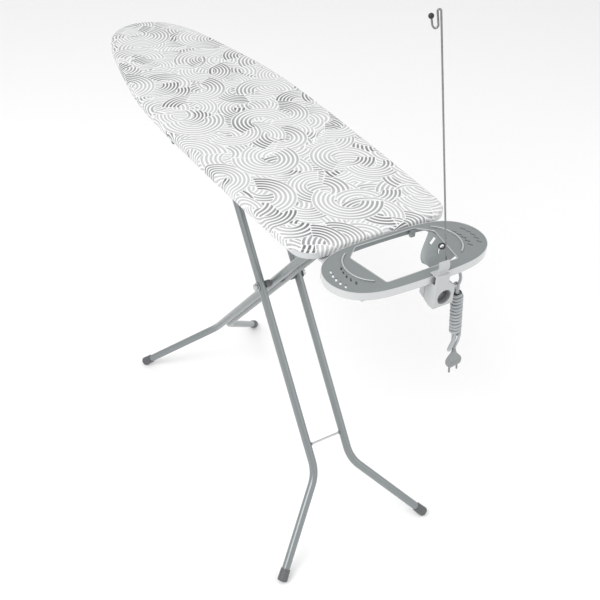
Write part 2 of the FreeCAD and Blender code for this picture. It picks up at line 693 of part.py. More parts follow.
def polygon_prism(points, low, high, radius=0.0):
    """A flat polygon, its corners rounded, raised between two heights."""
    wire = Part.makePolygon([Vector(x, y, low) for x, y in points + points[:1]])
    solid = Part.Face(wire).extrude(Vector(0, 0, high - low))
    if radius:
        upright = [e for e in solid.Edges if abs(e.tangentAt(e.FirstParameter).z) > 0.99]
        solid = solid.makeFillet(radius, upright)
    return solid


def rest_loop(half_x, half_y, low, high):
    """A raised oval, set back from the middle of the rest like the ridge round the iron."""
    return Part.Face(rest_wire(TRAY_X - 9, half_x, half_y, low)).extrude(Vector(0, 0, high - low))


WINDOW = [(TRAY_BACK + 8, -68), (TRAY_BACK + 34, -97), (TRAY_FRONT - 24, -80),
          (TRAY_FRONT - 24, 80), (TRAY_BACK + 34, 97), (TRAY_BACK + 8, 68)]
WINDOW_ROUND = 9
TRAY_INSET = size("trim_thick") + size("fit_gap")
tray_shape = rest_plate(TRAY_INSET, TRAY_LOW, TRAY_Z)
tray_shape = tray_shape.cut(rest_plate(TRAY_INSET + size("tray_wall"), TRAY_LOW - 1, PLATE_LOW))
tray_shape = tray_shape.cut(polygon_prism(WINDOW, TRAY_LOW - 5, TRAY_Z + 5, WINDOW_ROUND))
RIDGE_HALF = (63, 126)
RIDGE_WIDE, RIDGE_HIGH, RIDGE_OPEN = 3.5, 1.8, 98
ridge = rest_loop(RIDGE_HALF[0], RIDGE_HALF[1], TRAY_Z - 0.5, TRAY_Z + RIDGE_HIGH)
ridge = ridge.cut(rest_loop(RIDGE_HALF[0] - RIDGE_WIDE, RIDGE_HALF[1] - RIDGE_WIDE, TRAY_Z - 1, TRAY_Z + 3))
ridge = ridge.cut(Part.makeBox(400, 2 * RIDGE_OPEN, 20, Vector(TRAY_X - 200, -RIDGE_OPEN, TRAY_Z - 10)))
tray_shape = tray_shape.fuse(ridge)
SLOT_LONG, SLOT_WIDE, SLOT_PITCH = 10.5, 3.6, 12.3
SLOT_TURN = 32
SLOT_ROWS = (133, 155)
for side in (-1, 1):
    for k in range(5):
        x = TRAY_BACK + 54 + SLOT_PITCH * k
        for row_y in SLOT_ROWS:
            y = side * (row_y - 1.1 * (k - 2) ** 2)
            vent_corner = Vector(-SLOT_LONG / 2, -SLOT_WIDE / 2, PLATE_LOW - 5)
            vent = Part.makeBox(SLOT_LONG, SLOT_WIDE, 20, vent_corner)
            vent.rotate(Vector(0, 0, 0), Vector(0, 0, 1), side * SLOT_TURN)
            tray_shape = tray_shape.cut(vent.translated(Vector(x, y, 0)))
BOSS = [(TRAY_BACK + 20, 125), (TRAY_FRONT - 36, 118)]
BOSS_R, SCREW_R = 7, 2
ARM_TOP = RAIL_LOW - BRACKET_WALL
ARM_THICK = 5
for side in (-1, 1):
    for x, y in BOSS:
        post = Part.makeCylinder(BOSS_R, PLATE_LOW + 1 - ARM_TOP, Vector(x, side * y, ARM_TOP))
        post = post.cut(Part.makeCylinder(SCREW_R + 0.02, 12, Vector(x, side * y, ARM_TOP - 0.5)))
        tray_shape = tray_shape.fuse(post)
tray_shape = tray_shape.fuse(Part.makeBox(7, 10, 14, Vector(TRAY_BACK + 7, 58, PLATE_LOW - 13)))
keep("iron_rest_tray", feature("tray_plate", tray_shape.removeSplitter()))
trim_shape = rest_plate(0, TRAY_LOW - 0.5, TRAY_Z + 1)
trim_shape = trim_shape.cut(rest_plate(size("trim_thick"), TRAY_LOW - 2, TRAY_Z + 2))
keep("rest_trim", feature("trim_band", trim_shape))


def strip_wire(points, thick, z):
    """A thin closed outline: a curve through the points and its copy set back in Y."""
    near = [Vector(x, y, z) for x, y in points]
    far = [Vector(x, y + thick, z) for x, y in points]
    front, back = Part.BSplineCurve(), Part.BSplineCurve()
    front.interpolate(near)
    back.interpolate(far[::-1])
    ends = [Part.LineSegment(near[-1], far[-1]).toShape(), Part.LineSegment(far[0], near[0]).toShape()]
    return Part.Wire([front.toShape(), ends[0], back.toShape(), ends[1]])


# each cheek's outline from the top down: height, where it starts and ends along X, and how far out
WING_LEVELS = [(PLATE_LOW - 0.01, 25, 113, 92.5), (PLATE_LOW - 14, 30, 108, 83),
               (PLATE_LOW - 28, 36, 102, 72), (PLATE_LOW - 40, 46, 96, 62), (PLATE_LOW - 45, 58, 88, 58)]
WING_THICK = 2.4


def rest_wing(side, hand):
    """A curved cheek under the window's end, with a slot and a hooded cable hole."""
    wires = []
    for z, x0, x1, y in WING_LEVELS:
        x0, x1 = TRAY_BACK + x0, TRAY_BACK + x1
        middle = (x0 + x1) / 2
        bowed = [(x0, side * (y - 1)), (middle, side * (y + 3)), (x1, side * (y - 5))]
        wires.append(strip_wire(bowed, side * WING_THICK, z))
    cheek = Part.makeLoft(wires, True, False)
    slot = Part.makeBox(7, 30, 13, Vector(TRAY_BACK + 40, -15 + side * 86, PLATE_LOW - 18))
    centre = Vector(TRAY_BACK + 74, side * 60, PLATE_LOW - 13)
    hole = Part.makeCylinder(9.5, 60, centre, Vector(0, side, 0))
    plug = Part.makeCylinder(8, 64, centre + Vector(3, -2 * side, 0), Vector(0, side, 0))
    cheek = cheek.cut(slot).cut(hole.cut(plug))
    return keep("rest_wing_" + hand, feature("wing_" + hand, cheek))


ARM_IN, ARM_OUT = 108, 132
for side, hand in ((-1, "left"), (1, "right")):
    rest_wing(side, hand)
    y = mirrored(side, ARM_IN, ARM_OUT - ARM_IN)
    bar = box("arm_bar_" + hand, (END_X - 110, y, ARM_TOP - ARM_THICK),
              (TRAY_FRONT - 24, y + ARM_OUT - ARM_IN, ARM_TOP))
    holes = [rod("arm_hole_%s_%d" % (hand, k), (x, side * boss_y, ARM_TOP - 9),
                 (x, side * boss_y, ARM_TOP + 1), SCREW_R + 0.2) for k, (x, boss_y) in enumerate(BOSS)]
    keep("rest_arm_" + hand, cut("rest_arm_" + hand, bar, *holes))
plates = [box("cross_plate_%d" % k, (END_X - back - BRACE_HALF, -ARM_OUT, ARM_TOP),
              (END_X - back + BRACE_HALF, ARM_OUT, RAIL_LOW)) for k, back in enumerate((88, 30))]
keep("rest_cross_plates", group("rest_cross_plates", *plates))
screws = []
for side in (-1, 1):
    for k, (x, y) in enumerate(BOSS):
        name = "rest_screw_%d_%d" % (k, side + 1)
        under = ARM_TOP - ARM_THICK
        head = rod(name + "_head", (x, side * y, under - 3), (x, side * y, under), 4.5)
        shank = rod(name + "_shank", (x, side * y, under - 1), (x, side * y, ARM_TOP + 10), SCREW_R)
        screws.append(fuse(name, head, shank))
keep("rest_screws", group("rest_screws", *screws))

# ---------------------------------------------------------------- socket and cord holder
BOX_FRONT = TRAY_FRONT + size("socket_proud")
BOX_Y = size("socket_y")
BOX_Y1 = BOX_Y + size("socket_wide")
CLAMP_Y1 = BOX_Y + size("clamp_wide")
BOX_LOW, BOX_HIGH, CLAMP_HIGH = 854, 893, 924.5
RECESS = Vector(BOX_FRONT, 27, 874)
RECESS_R = 15.5

CLAMP_DEEP = 21
CLAMP_GRIP = 17.5
BOX_SPLIT = BOX_FRONT - 30
BOX_BACK = BOX_FRONT - 44
SHOULDER_HIGH = 12
PIN_Y = 9.5


def box_block(x0, x1):
    """The socket housing's rounded block between two places along X."""
    plan = [(x0, BOX_Y), (x1, BOX_Y), (x1, BOX_Y1), (x0, BOX_Y1)]
    return polygon_prism(plan, BOX_LOW, BOX_HIGH, 1.5)


def wedge(points, sweep):
    """A triangle moved along a vector."""
    corners = [Vector(*p) for p in points]
    return Part.Face(Part.makePolygon(corners + corners[:1])).extrude(Vector(*sweep))


front_shape = box_block(BOX_SPLIT, BOX_FRONT)
shoulder = wedge([(BOX_FRONT, CLAMP_Y1, BOX_HIGH - 1), (BOX_FRONT, BOX_Y1, BOX_HIGH - 1),
                  (BOX_FRONT, CLAMP_Y1, BOX_HIGH + SHOULDER_HIGH)], (-CLAMP_DEEP, 0, 0))
toe = wedge([(BOX_BACK - 2, BOX_Y - 1, BOX_LOW - 1), (BOX_FRONT - 12, BOX_Y - 1, BOX_LOW - 1),
             (BOX_BACK - 2, BOX_Y - 1, BOX_LOW + 13)], (0, 60, 0))
recess = Part.makeCylinder(RECESS_R, 18, RECESS + Vector(1, 0, 0), Vector(-1, 0, 0))
clamp_block = Part.makeBox(CLAMP_DEEP, CLAMP_Y1 - BOX_Y, CLAMP_HIGH - BOX_HIGH + 0.5,
                           Vector(BOX_FRONT - CLAMP_DEEP, BOX_Y, BOX_HIGH - 0.5))
pocket = Part.makeBox(CLAMP_GRIP, 60, TRAY_Z + 1.3 - (TRAY_LOW - 2),
                      Vector(BOX_FRONT - CLAMP_DEEP - 1, BOX_Y - 5, TRAY_LOW - 2))
front_shape = front_shape.fuse(shoulder).fuse(clamp_block).removeSplitter()
keep("socket_housing", feature("housing_shell", front_shape.cut(recess).cut(toe).cut(pocket)))
keep("socket_back", feature("back_shell", box_block(BOX_BACK, BOX_SPLIT - 0.5).cut(toe)))
cup = Part.makeCylinder(RECESS_R - 0.1, 15.5, RECESS + Vector(-1.2, 0, 0), Vector(-1, 0, 0))
cup = cup.cut(Part.makeCylinder(RECESS_R - 1.5, 13, RECESS, Vector(-1, 0, 0)))
contacts = []
for hand, y in (("left", -PIN_Y), ("right", PIN_Y)):
    cup = cup.cut(Part.makeCylinder(2.4, 30, RECESS + Vector(0, y, 0), Vector(-1, 0, 0)))
    contacts.append(ring("contact_" + hand, RECESS + Vector(-14, y, 0), (-1, 0, 0), 2.6, 2.35, 1.7))
keep("socket_insert", feature("insert_cup", cup))
keep("socket_contacts", group("socket_contacts", *contacts))
keep("clamp_pad", box("clamp_pad_block", (BOX_FRONT - 20, BOX_Y + 1, TRAY_LOW - 2),
                      (BOX_FRONT - 6, CLAMP_Y1 - 1, TRAY_LOW - 0.6)))

# the clip stands on the clamp; the cord holder leans back over the board in it
CLIP_X = BOX_FRONT - 10
CLIP_Y, CLIP_Y1 = 8, 30
ROD_LEAN = math.radians(8.66)
LEAN_WAY = Vector(-0.533, -0.846, 0)
ROD_UP = LEAN_WAY * math.sin(ROD_LEAN) + Vector(0, 0, math.cos(ROD_LEAN))
ROD_FOOT = Vector(CLIP_X - 0.5, 31.2, CLAMP_HIGH + 4)
CLIP_TAB = [(-6, 0), (6, 0), (6, 7), (8.5, 13), (8.5, 21), (6, 28),
            (3, 28), (4.5, 21), (4.5, 14), (2, 9), (-6, 3)]
tab_wire = Part.makePolygon([Vector(CLIP_X + x, CLIP_Y, CLAMP_HIGH + z)
                             for x, z in CLIP_TAB + CLIP_TAB[:1]])
tab_shape = Part.Face(tab_wire).extrude(Vector(0, CLIP_Y1 - CLIP_Y, 0))
tab_shape = tab_shape.fuse(Part.makeCylinder(4.2, 17, Vector(ROD_FOOT.x, ROD_FOOT.y, CLAMP_HIGH), ROD_UP))
tab_shape = tab_shape.cut(Part.makeBox(40, 40, 10, Vector(CLIP_X - 20, 0, CLAMP_HIGH - 10)))
antenna_r = size("antenna_r")
tab_shape = tab_shape.cut(Part.makeCylinder(antenna_r + size("fit_gap"), 40, ROD_FOOT, ROD_UP))
keep("rod_clip", feature("clip_tab", tab_shape))
ROD_LONG = 470


def rod_point(along, aside, deep=0.0):
    """A point of the cord holder: along the rod, out to its hook's side, and square to both."""
    side = (LEAN_WAY * math.cos(ROD_LEAN) - Vector(0, 0, math.sin(ROD_LEAN)))
    return ROD_FOOT + ROD_UP * along + side * aside + ROD_UP.cross(side) * deep


# the rod's points, along it and out to the side: up, over the top, down, round a U and up again
hook = [(0, 0), (ROD_LONG + 4, 0), (ROD_LONG + 3.4, 5.4), (ROD_LONG - 21, 4.6), (ROD_LONG - 27, 9.2),
        (ROD_LONG - 20, 13.6), (ROD_LONG - 8, 14.6)]
hook_radii = [2.3, 2.3, 3.4, 3.4, 6.0]
rod_shape = swept(bent_path([rod_point(a, b) for a, b in hook], hook_radii), antenna_r)
keep("antenna_rod", feature("antenna_wire", rod_shape))
BALL_R = 4.5
ball = Part.makeSphere(BALL_R, rod_point(ROD_LONG - 5, 14.9))
keep("antenna_ball", feature("antenna_tip", ball.cut(rod_shape)))
EYE_UP = 51
eye = Part.makeTorus(5.5, 1.5, rod_point(EYE_UP, 6.9), ROD_UP.cross(LEAN_WAY))
eye = eye.cut(Part.makeCylinder(antenna_r, 60, rod_point(20, 0), ROD_UP))
keep("antenna_eyelet", feature("eyelet_ring", eye))


# ---------------------------------------------------------------- cord, hank and plug
CORD_R = size("cord_d") / 2
HANK_TOP = Vector(TRAY_BACK + 139, 80, 866)
HANK_LOW = Vector(TRAY_BACK + 139, 96, 738)
HANK_R = size("hank_d") / 2
GLAND = Vector(BOX_FRONT - 37, BOX_Y1, 884)
GLAND_WAY = Vector(0, 0.766, 0.643)
lead = [GLAND + GLAND_WAY * 10, Vector(GLAND.x + 0.5, 65.2, 896.7), Vector(GLAND.x + 2, 75.0, 897.6),
        Vector(GLAND.x + 5, 83.5, 892.7), Vector(GLAND.x + 8, 87.6, 883.8),
        Vector(GLAND.x + 11, 85.9, 874.1), HANK_TOP]


def cord_path(points):
    """Straight runs joined by arcs as large as their runs allow."""
    points = [Vector(*p) for p in points]
    radii = []
    for before, here, after in zip(points, points[1:], points[2:]):
        back, ahead = before - here, after - here
        turn = math.pi - back.getAngle(ahead)
        radii.append(0.45 * min(back.Length, ahead.Length) / math.tan(turn / 2))
    if min(radii) < 2 * size("cord_d"):
        raise RuntimeError("the cord bends too tightly: %.1f mm" % min(radii))
    return bent_path(points, radii)


gland = Part.makeCone(5.5, CORD_R + 1, 12, GLAND - GLAND_WAY * 2, GLAND_WAY)
gland = gland.cut(Part.makeCylinder(CORD_R, 20, GLAND, GLAND_WAY))
gland = gland.cut(Part.makeBox(20, 20, 40, Vector(GLAND.x - 10, BOX_Y1 - 20, GLAND.z - 20)))
gland = gland.cut(Part.makeCylinder(CORD_R + 3, 10, GLAND + GLAND_WAY * 10, GLAND_WAY))
keep("cord_gland", feature("gland_cone", gland))
hank_axis = (HANK_LOW - HANK_TOP).normalize()
hank = Part.makeCylinder(HANK_R, (HANK_LOW - HANK_TOP).Length, HANK_TOP, hank_axis)
lead_shape = swept(cord_path(lead), CORD_R).cut(hank)
keep("cord_lead", feature("lead_tube", lead_shape))
keep("cord_hank", feature("hank_roll", hank.makeFillet(3, [e for e in hank.Edges if e.Closed])))

TIE_DOWN, TIE_WIDE, TIE_THICK = 16, 3, 1.3
tie = Part.makeCylinder(HANK_R + TIE_THICK, TIE_WIDE, HANK_TOP + hank_axis * TIE_DOWN, hank_axis)
tie = tie.cut(Part.makeCylinder(HANK_R, 3 * TIE_WIDE, HANK_TOP + hank_axis * (TIE_DOWN - TIE_WIDE),
                                hank_axis))
keep("hank_tie", feature("tie_band", tie))
PLUG_TOP = HANK_LOW + hank_axis * 44
tail = [HANK_LOW, HANK_LOW + hank_axis * 15 + Vector(3, 1.5, 0),
        HANK_LOW + hank_axis * 29 + Vector(-2, 1, 0), PLUG_TOP]
tail_shape = swept(cord_path(tail), CORD_R).cut(hank)


def on_plug(across_y, down, deep):
    """A point of the plug: across its flat, down from its cord end, and through it."""
    side = hank_axis.cross(Vector(1, 0, 0)).normalize()
    return PLUG_TOP + hank_axis * down - side * across_y + Vector(deep, 0, 0)


PLUG_LONG, PLUG_THICK = 36, 14
PIN_LONG = 19
PLUG_HALF = [(-5, 0), (5, 0), (7.5, 9), (17, 23), (17, 29), (14.5, PLUG_LONG),
             (-14.5, PLUG_LONG), (-17, 29), (-17, 23), (-7.5, 9)]
plug_wire = Part.makePolygon([on_plug(y, d, -PLUG_THICK / 2) for y, d in PLUG_HALF + PLUG_HALF[:1]])
plug = Part.Face(plug_wire).extrude(Vector(PLUG_THICK, 0, 0))
plug = plug.makeFillet(2.5, [e for e in plug.Edges if abs(e.tangentAt(e.FirstParameter).x) > 0.99])
keep("plug_body", feature("plug_moulding", plug))
keep("cord_tail", feature("tail_tube", tail_shape.cut(plug)))
pins = []
for hand, y in (("left", -PIN_Y), ("right", PIN_Y)):
    pin = Part.makeCylinder(2, PIN_LONG, on_plug(y, PLUG_LONG, 0), hank_axis)
    pins.append(feature("plug_pin_" + hand, pin))
keep("plug_pins", group("plug_pins", *pins))

# ---------------------------------------------------------------- check and write
doc.recompute()
for obj in doc.Objects:
    if any(flag in ("Invalid", "Error") for flag in obj.State):
        raise RuntimeError("%s did not build: %s" % (obj.Name, obj.State))
for label, obj in parts.items():
    if obj.Shape.isNull() or not obj.Shape.isValid() or not obj.Shape.Solids:
        raise RuntimeError("%s has no sound shape" % label)
    obj.Shape.exportStep("parts/%s.step" % label)
print("%d sub-parts written" % len(parts))
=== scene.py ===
"""Looks for the ironing board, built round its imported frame.

Metres, in the frame's own axes: X runs from the nose to the iron rest, Z is up, the floor is 0.
"""
import math
import random

import bmesh
import bpy
import numpy as np
from bpy.props import FloatProperty, FloatVectorProperty, IntProperty, PointerProperty
from mathutils import Matrix, Vector


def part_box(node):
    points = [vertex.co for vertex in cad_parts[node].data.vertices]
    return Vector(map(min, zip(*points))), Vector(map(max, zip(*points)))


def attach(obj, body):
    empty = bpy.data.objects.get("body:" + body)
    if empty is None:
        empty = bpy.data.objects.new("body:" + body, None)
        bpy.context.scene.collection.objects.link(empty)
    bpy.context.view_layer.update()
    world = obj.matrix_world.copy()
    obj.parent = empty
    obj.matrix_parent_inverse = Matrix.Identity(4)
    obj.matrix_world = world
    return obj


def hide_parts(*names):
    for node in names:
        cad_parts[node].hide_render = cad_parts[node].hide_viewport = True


bl_info = {
    "name": "Ironing board",
    "version": (1, 0, 0),
    "blender": (4, 5, 0),
    "location": "View3D > Sidebar > Ironing board",
    "description": "Builds the cloth, cord, mesh top and finishes of a folding ironing board",
    "category": "Object",
}

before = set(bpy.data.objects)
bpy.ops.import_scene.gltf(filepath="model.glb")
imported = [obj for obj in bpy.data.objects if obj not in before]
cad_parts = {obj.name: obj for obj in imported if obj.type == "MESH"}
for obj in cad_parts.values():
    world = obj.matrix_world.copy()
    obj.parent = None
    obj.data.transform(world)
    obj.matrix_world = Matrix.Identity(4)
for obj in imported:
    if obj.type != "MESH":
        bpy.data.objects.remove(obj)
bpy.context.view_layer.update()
MM = 0.001
COVER_LOW, COVER_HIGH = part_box("cover")
LINE_PITCH = 0.0088


# ---------------------------------------------------------------- settings
def length(name, description, default):
    """A setting in metres."""
    return FloatProperty(name=name, description=description, default=default, unit="LENGTH",
                         precision=4)


def colour(name, description, default):
    """A colour setting."""
    return FloatVectorProperty(name=name, description=description, default=default, subtype="COLOR",
                               size=3, min=0.0, max=1.0)


class CoverSettings(bpy.types.PropertyGroup):
    """The printed cover and what lies under it."""

    cloth: colour("Cloth", "Ground colour of the cotton", (0.77, 0.775, 0.775))
    ink: colour("Ink", "Darkest colour of the printed arcs", (0.055, 0.06, 0.065))
    arc_radius: length("Arc radius", "Outer radius of a printed fan of lines", 0.070)
    arc_pitch: length("Line pitch", "Distance between the lines of a fan", LINE_PITCH)
    gather: length("Gather", "How far the drawn hem puckers", 0.0016)
    puckers: IntProperty(name="Puckers", description="Gathers round the hem", default=150, min=20)
    hole_long: length("Hole length", "Long way of the top's diamond holes", 0.024)
    hole_wide: length("Hole width", "Short way of the top's diamond holes", 0.012)


class FinishSettings(bpy.types.PropertyGroup):
    """Paints and plastics."""

    leg_paint: colour("Leg paint", "Satin paint of the legs", (0.225, 0.245, 0.25))
    board_paint: colour("Board paint", "Paint of the rim, rails and racks", (0.50, 0.51, 0.52))
    zinc: colour("Zinc", "Plated bolts, bars and wire", (0.50, 0.51, 0.52))
    foot: colour("Foot caps", "Plastic of the feet and the grip", (0.095, 0.10, 0.105))
    rest: colour("Iron rest", "Plastic of the rest and its cheeks", (0.225, 0.243, 0.248))
    trim: colour("Trim", "Bright band round the rest", (0.53, 0.54, 0.545))
    housing: colour("Socket", "Plastic of the socket housing", (0.45, 0.462, 0.465))
    insert: colour("Insert", "Plastic inside the socket", (0.22, 0.225, 0.23))
    sheath: colour("Cord", "Sheath of the cord and its plug", (0.36, 0.38, 0.39))


class CordSettings(bpy.types.PropertyGroup):
    """The wound-up lead."""

    diameter: length("Diameter", "Cord diameter", 0.006)
    turns: FloatProperty(name="Turns", description="Turns wound round the folded strands", default=11.75,
                         min=2.0)
    turn_radius: length("Turn radius", "Middle of the cord in a turn", 0.0095)
    turn_pitch: length("Turn pitch", "Distance between turns", 0.0084)
    strand_radius: length("Strand radius", "From the middle of the hank to a strand", 0.0037)


class StageSettings(bpy.types.PropertyGroup):
    """Camera, floor and light."""

    lens: FloatProperty(name="Lens", description="Focal length in millimetres", default=53.52)
    floor: colour("Floor", "Floor colour", (0.95, 0.95, 0.95))
    key: FloatProperty(name="Key light", description="Power of the large lamp in watts", default=92.0)
    sky: FloatProperty(name="Sky", description="Strength of the light from all round", default=0.83)


# ---------------------------------------------------------------- node helpers
ORIGIN = (0.0, 0.0, 0.0)
GEOMETRY, MATERIAL = "NodeSocketGeometry", "NodeSocketMaterial"


def feed(tree, socket, value):
    """Gives a socket a plain value or a link; None leaves it as it is."""
    if isinstance(value, bpy.types.NodeSocket):
        tree.links.new(value, socket)
    elif value is not None:
        socket.default_value = value


def add(tree, kind, *inputs, **settings):
    """Adds a node, sets its own settings, and feeds its inputs in order."""
    made = tree.nodes.new(kind)
    for key, value in settings.items():
        setattr(made, key, value)
    for socket, value in zip(made.inputs, inputs):
        feed(tree, socket, value)
    return made


def math_node(tree, operation, *inputs, clamp=False):
    """The result of one Math node."""
    return add(tree, "ShaderNodeMath", *inputs, operation=operation, use_clamp=clamp).outputs[0]


def times(tree, first, second):
    """Two numbers multiplied."""
    return math_node(tree, "MULTIPLY", first, second)


def plus(tree, first, second):
    """Two numbers added."""
    return math_node(tree, "ADD", first, second)


def minus(tree, first, second):
    """The second number taken from the first."""
    return math_node(tree, "SUBTRACT", first, second)


def over(tree, first, second):
    """The first number divided by the second."""
    return math_node(tree, "DIVIDE", first, second)


def vector_node(tree, operation, *inputs):
    """The result of one Vector Math node that gives a vector."""
    return add(tree, "ShaderNodeVectorMath", *inputs, operation=operation).outputs[0]


def ramp_node(tree, value, low, high, to_low=0.0, to_high=1.0, smooth=True):
    """A value brought from one span to another, held at its ends."""
    return add(tree, "ShaderNodeMapRange", value, low, high, to_low, to_high,
               interpolation_type="SMOOTHSTEP" if smooth else "LINEAR", clamp=True).outputs[0]


def noise(tree, vector, scale, detail, rough):
    """Cloudy noise between 0 and 1."""
    return add(tree, "ShaderNodeTexNoise", vector, None, scale, detail, rough).outputs[0]


def mix_colour(tree, factor, first, second, blend="MIX"):
    """Two colours mixed."""
    made = tree.nodes.new("ShaderNodeMix")
    made.data_type = "RGBA"
    made.blend_type = blend
    sockets = {socket.identifier: socket for socket in made.inputs}
    for name, value in (("Factor_Float", factor), ("A_Color", first), ("B_Color", second)):
        feed(tree, sockets[name], value)
    return next(socket for socket in made.outputs if socket.identifier == "Result_Color")


def toned(tree, tint, shade):
    """A plain colour made lighter or darker by a number."""
    grey = add(tree, "ShaderNodeCombineColor", shade, shade, shade).outputs[0]
    return mix_colour(tree, 1.0, (*tint, 1.0), grey, "MULTIPLY")


def new_group(name, inputs, outputs, kind="ShaderNodeTree"):
    """An empty node group; an input has its default, or its socket type where it has no default."""
    tree = bpy.data.node_groups.new(name, kind)
    for label, default in inputs.items():
        if isinstance(default, str):
            tree.interface.new_socket(label, in_out="INPUT", socket_type=default)
            continue
        number = "NodeSocketVector" if isinstance(default, tuple) else "NodeSocketFloat"
        tree.interface.new_socket(label, in_out="INPUT", socket_type=number).default_value = default
    for label in outputs:
        tree.interface.new_socket(label, in_out="OUTPUT",
                                  socket_type=GEOMETRY if label == "Geometry" else "NodeSocketFloat")
    return tree, tree.nodes.new("NodeGroupInput"), tree.nodes.new("NodeGroupOutput")


def use_group(tree, group, **values):
    """Places a group in a tree; values are given by socket name, underscores for spaces."""
    made = tree.nodes.new("ShaderNodeGroup")
    made.node_tree = group
    for key, value in values.items():
        feed(tree, made.inputs[key.replace("_", " ")], value)
    return made


# ---------------------------------------------------------------- shared shader effects
def grain_group():
    """Cloudy tone and fine pits, as moulded plastic and paint have."""
    tree, source, result = new_group(
        "surface_grain", {"Vector": ORIGIN, "Fine": 900.0, "Cloud": 9.0, "Contrast": 0.1}, ("Shade", "Height"))
    vector, fine, cloud, contrast = source.outputs[:4]
    pits = noise(tree, vector, fine, 3.0, 0.6)
    clouds = noise(tree, vector, cloud, 4.0, 0.55)
    both = plus(tree, times(tree, pits, 0.35), times(tree, clouds, 0.65))
    spread = times(tree, minus(tree, both, 0.5), contrast)
    tree.links.new(plus(tree, spread, 1.0), result.inputs["Shade"])
    tree.links.new(pits, result.inputs["Height"])
    return tree


def scuff_group():
    """Sparse fine scratches, long along one axis."""
    tree, source, result = new_group(
        "fine_scuffs", {"Vector": ORIGIN, "Stretch": (40.0, 700.0, 700.0), "Amount": 0.35}, ("Mask",))
    vector, stretch, amount = source.outputs[:3]
    lines = noise(tree, vector_node(tree, "MULTIPLY", vector, stretch), 1.0, 2.0, 0.5)
    patches = noise(tree, vector, 14.0, 2.0, 0.5)
    marks = times(tree, ramp_node(tree, lines, 0.60, 0.72), ramp_node(tree, patches, 0.45, 0.70))
    tree.links.new(times(tree, marks, amount), result.inputs["Mask"])
    return tree


def weave_group():
    """Plain weave: threads over and under, with slubs."""
    tree, source, result = new_group("plain_weave", {"Vector": ORIGIN, "Threads": 2200.0}, ("Height", "Shade"))
    vector, threads = source.outputs[:2]
    parts = add(tree, "ShaderNodeSeparateXYZ", vector).outputs
    waves = [math_node(tree, "SINE", times(tree, part, times(tree, threads, math.pi))) for part in parts[:2]]
    slubs = noise(tree, vector, 420.0, 3.0, 0.6)
    tree.links.new(plus(tree, times(tree, times(tree, *waves), 0.5), slubs), result.inputs["Height"])
    tree.links.new(ramp_node(tree, slubs, 0.25, 0.75, 0.965, 1.02, smooth=False), result.inputs["Shade"])
    return tree


# a fan's outer and inner radius and how far its middle strays, as shares of its square
FAN_OUTER, FAN_INNER, FAN_STRAY = 0.44, 0.155, 0.10
FAN_LINES, FAN_LAYERS = 5.0, 7


def from_middle(tree, value):
    """How far a number is from the middle of its own unit."""
    return math_node(tree, "ABSOLUTE", minus(tree, math_node(tree, "FRACT", value), 0.5))


def bearing(tree, offset, start):
    """The way an offset points, in turns from 0 to 1, from a start in turns."""
    parts = add(tree, "ShaderNodeSeparateXYZ", offset).outputs
    angle = over(tree, math_node(tree, "ARCTAN2", parts[1], parts[0]), 2 * math.pi)
    return math_node(tree, "FRACT", plus(tree, angle, start))


def fan_group():
    """One layer of the print: in each square of a grid, a fan of concentric lines over what lies below."""
    tree, source, result = new_group(
        "arc_fans", {"Vector": ORIGIN, "Below": 0.0, "Cell": 0.15, "Turn": 0.0, "Shift": ORIGIN,
                     "Lines": FAN_LINES, "Span": 0.4}, ("Ink",))
    vector, below, cell, turn, shift, lines, span = source.outputs[:7]
    turned_print = add(tree, "ShaderNodeVectorRotate", vector, ORIGIN, (0, 0, 1), turn).outputs[0]
    size = add(tree, "ShaderNodeCombineXYZ", cell, cell, 1.0).outputs[0]
    placed = vector_node(tree, "ADD", vector_node(tree, "DIVIDE", turned_print, size), shift)
    flat = vector_node(tree, "MULTIPLY", placed, (1.0, 1.0, 0.0))
    square = vector_node(tree, "FLOOR", flat)
    seed = vector_node(tree, "ADD", square, vector_node(tree, "MULTIPLY", shift, (0.0, 0.0, 1.0)))
    chance = add(tree, "ShaderNodeTexWhiteNoise", seed, noise_dimensions="3D").outputs[1]
    dice = add(tree, "ShaderNodeSeparateColor", chance).outputs
    stray = vector_node(tree, "MULTIPLY", vector_node(tree, "SUBTRACT", chance, (0.5, 0.5, 0.5)),
                        (FAN_STRAY, FAN_STRAY, 0.0))
    inside = vector_node(tree, "SUBTRACT", vector_node(tree, "SUBTRACT", flat, square), (0.5, 0.5, 0.0))
    offset = vector_node(tree, "SUBTRACT", inside, stray)
    radius = add(tree, "ShaderNodeVectorMath", offset, operation="LENGTH").outputs[1]
    turns = bearing(tree, offset, times(tree, dice[2], 7.0))
    line_at = times(tree, minus(tree, FAN_OUTER, radius), FAN_LINES / (FAN_OUTER - FAN_INNER))
    line_at = times(tree, line_at, over(tree, lines, FAN_LINES))
    in_ring = times(tree, math_node(tree, "GREATER_THAN", line_at, 0.0),
                    math_node(tree, "LESS_THAN", line_at, lines))
    long = plus(tree, span, times(tree, dice[1], 0.28))
    covered = times(tree, in_ring, math_node(tree, "LESS_THAN", turns, long))
    line = ramp_node(tree, from_middle(tree, line_at), 0.38, 0.18)
    along = over(tree, turns, long)
    ends = times(tree, ramp_node(tree, along, 0.0, 0.02), ramp_node(tree, along, 1.0, 0.98))
    deep = times(tree, ramp_node(tree, along, 0.35, 1.0), ramp_node(tree, dice[0], 0.0, 0.6, 0.15, 0.5))
    ink = times(tree, times(tree, line, ends), plus(tree, 0.42, deep))
    kept = times(tree, below, minus(tree, 1.0, covered))
    tree.links.new(plus(tree, kept, times(tree, ink, covered)), result.inputs["Ink"])
    return tree


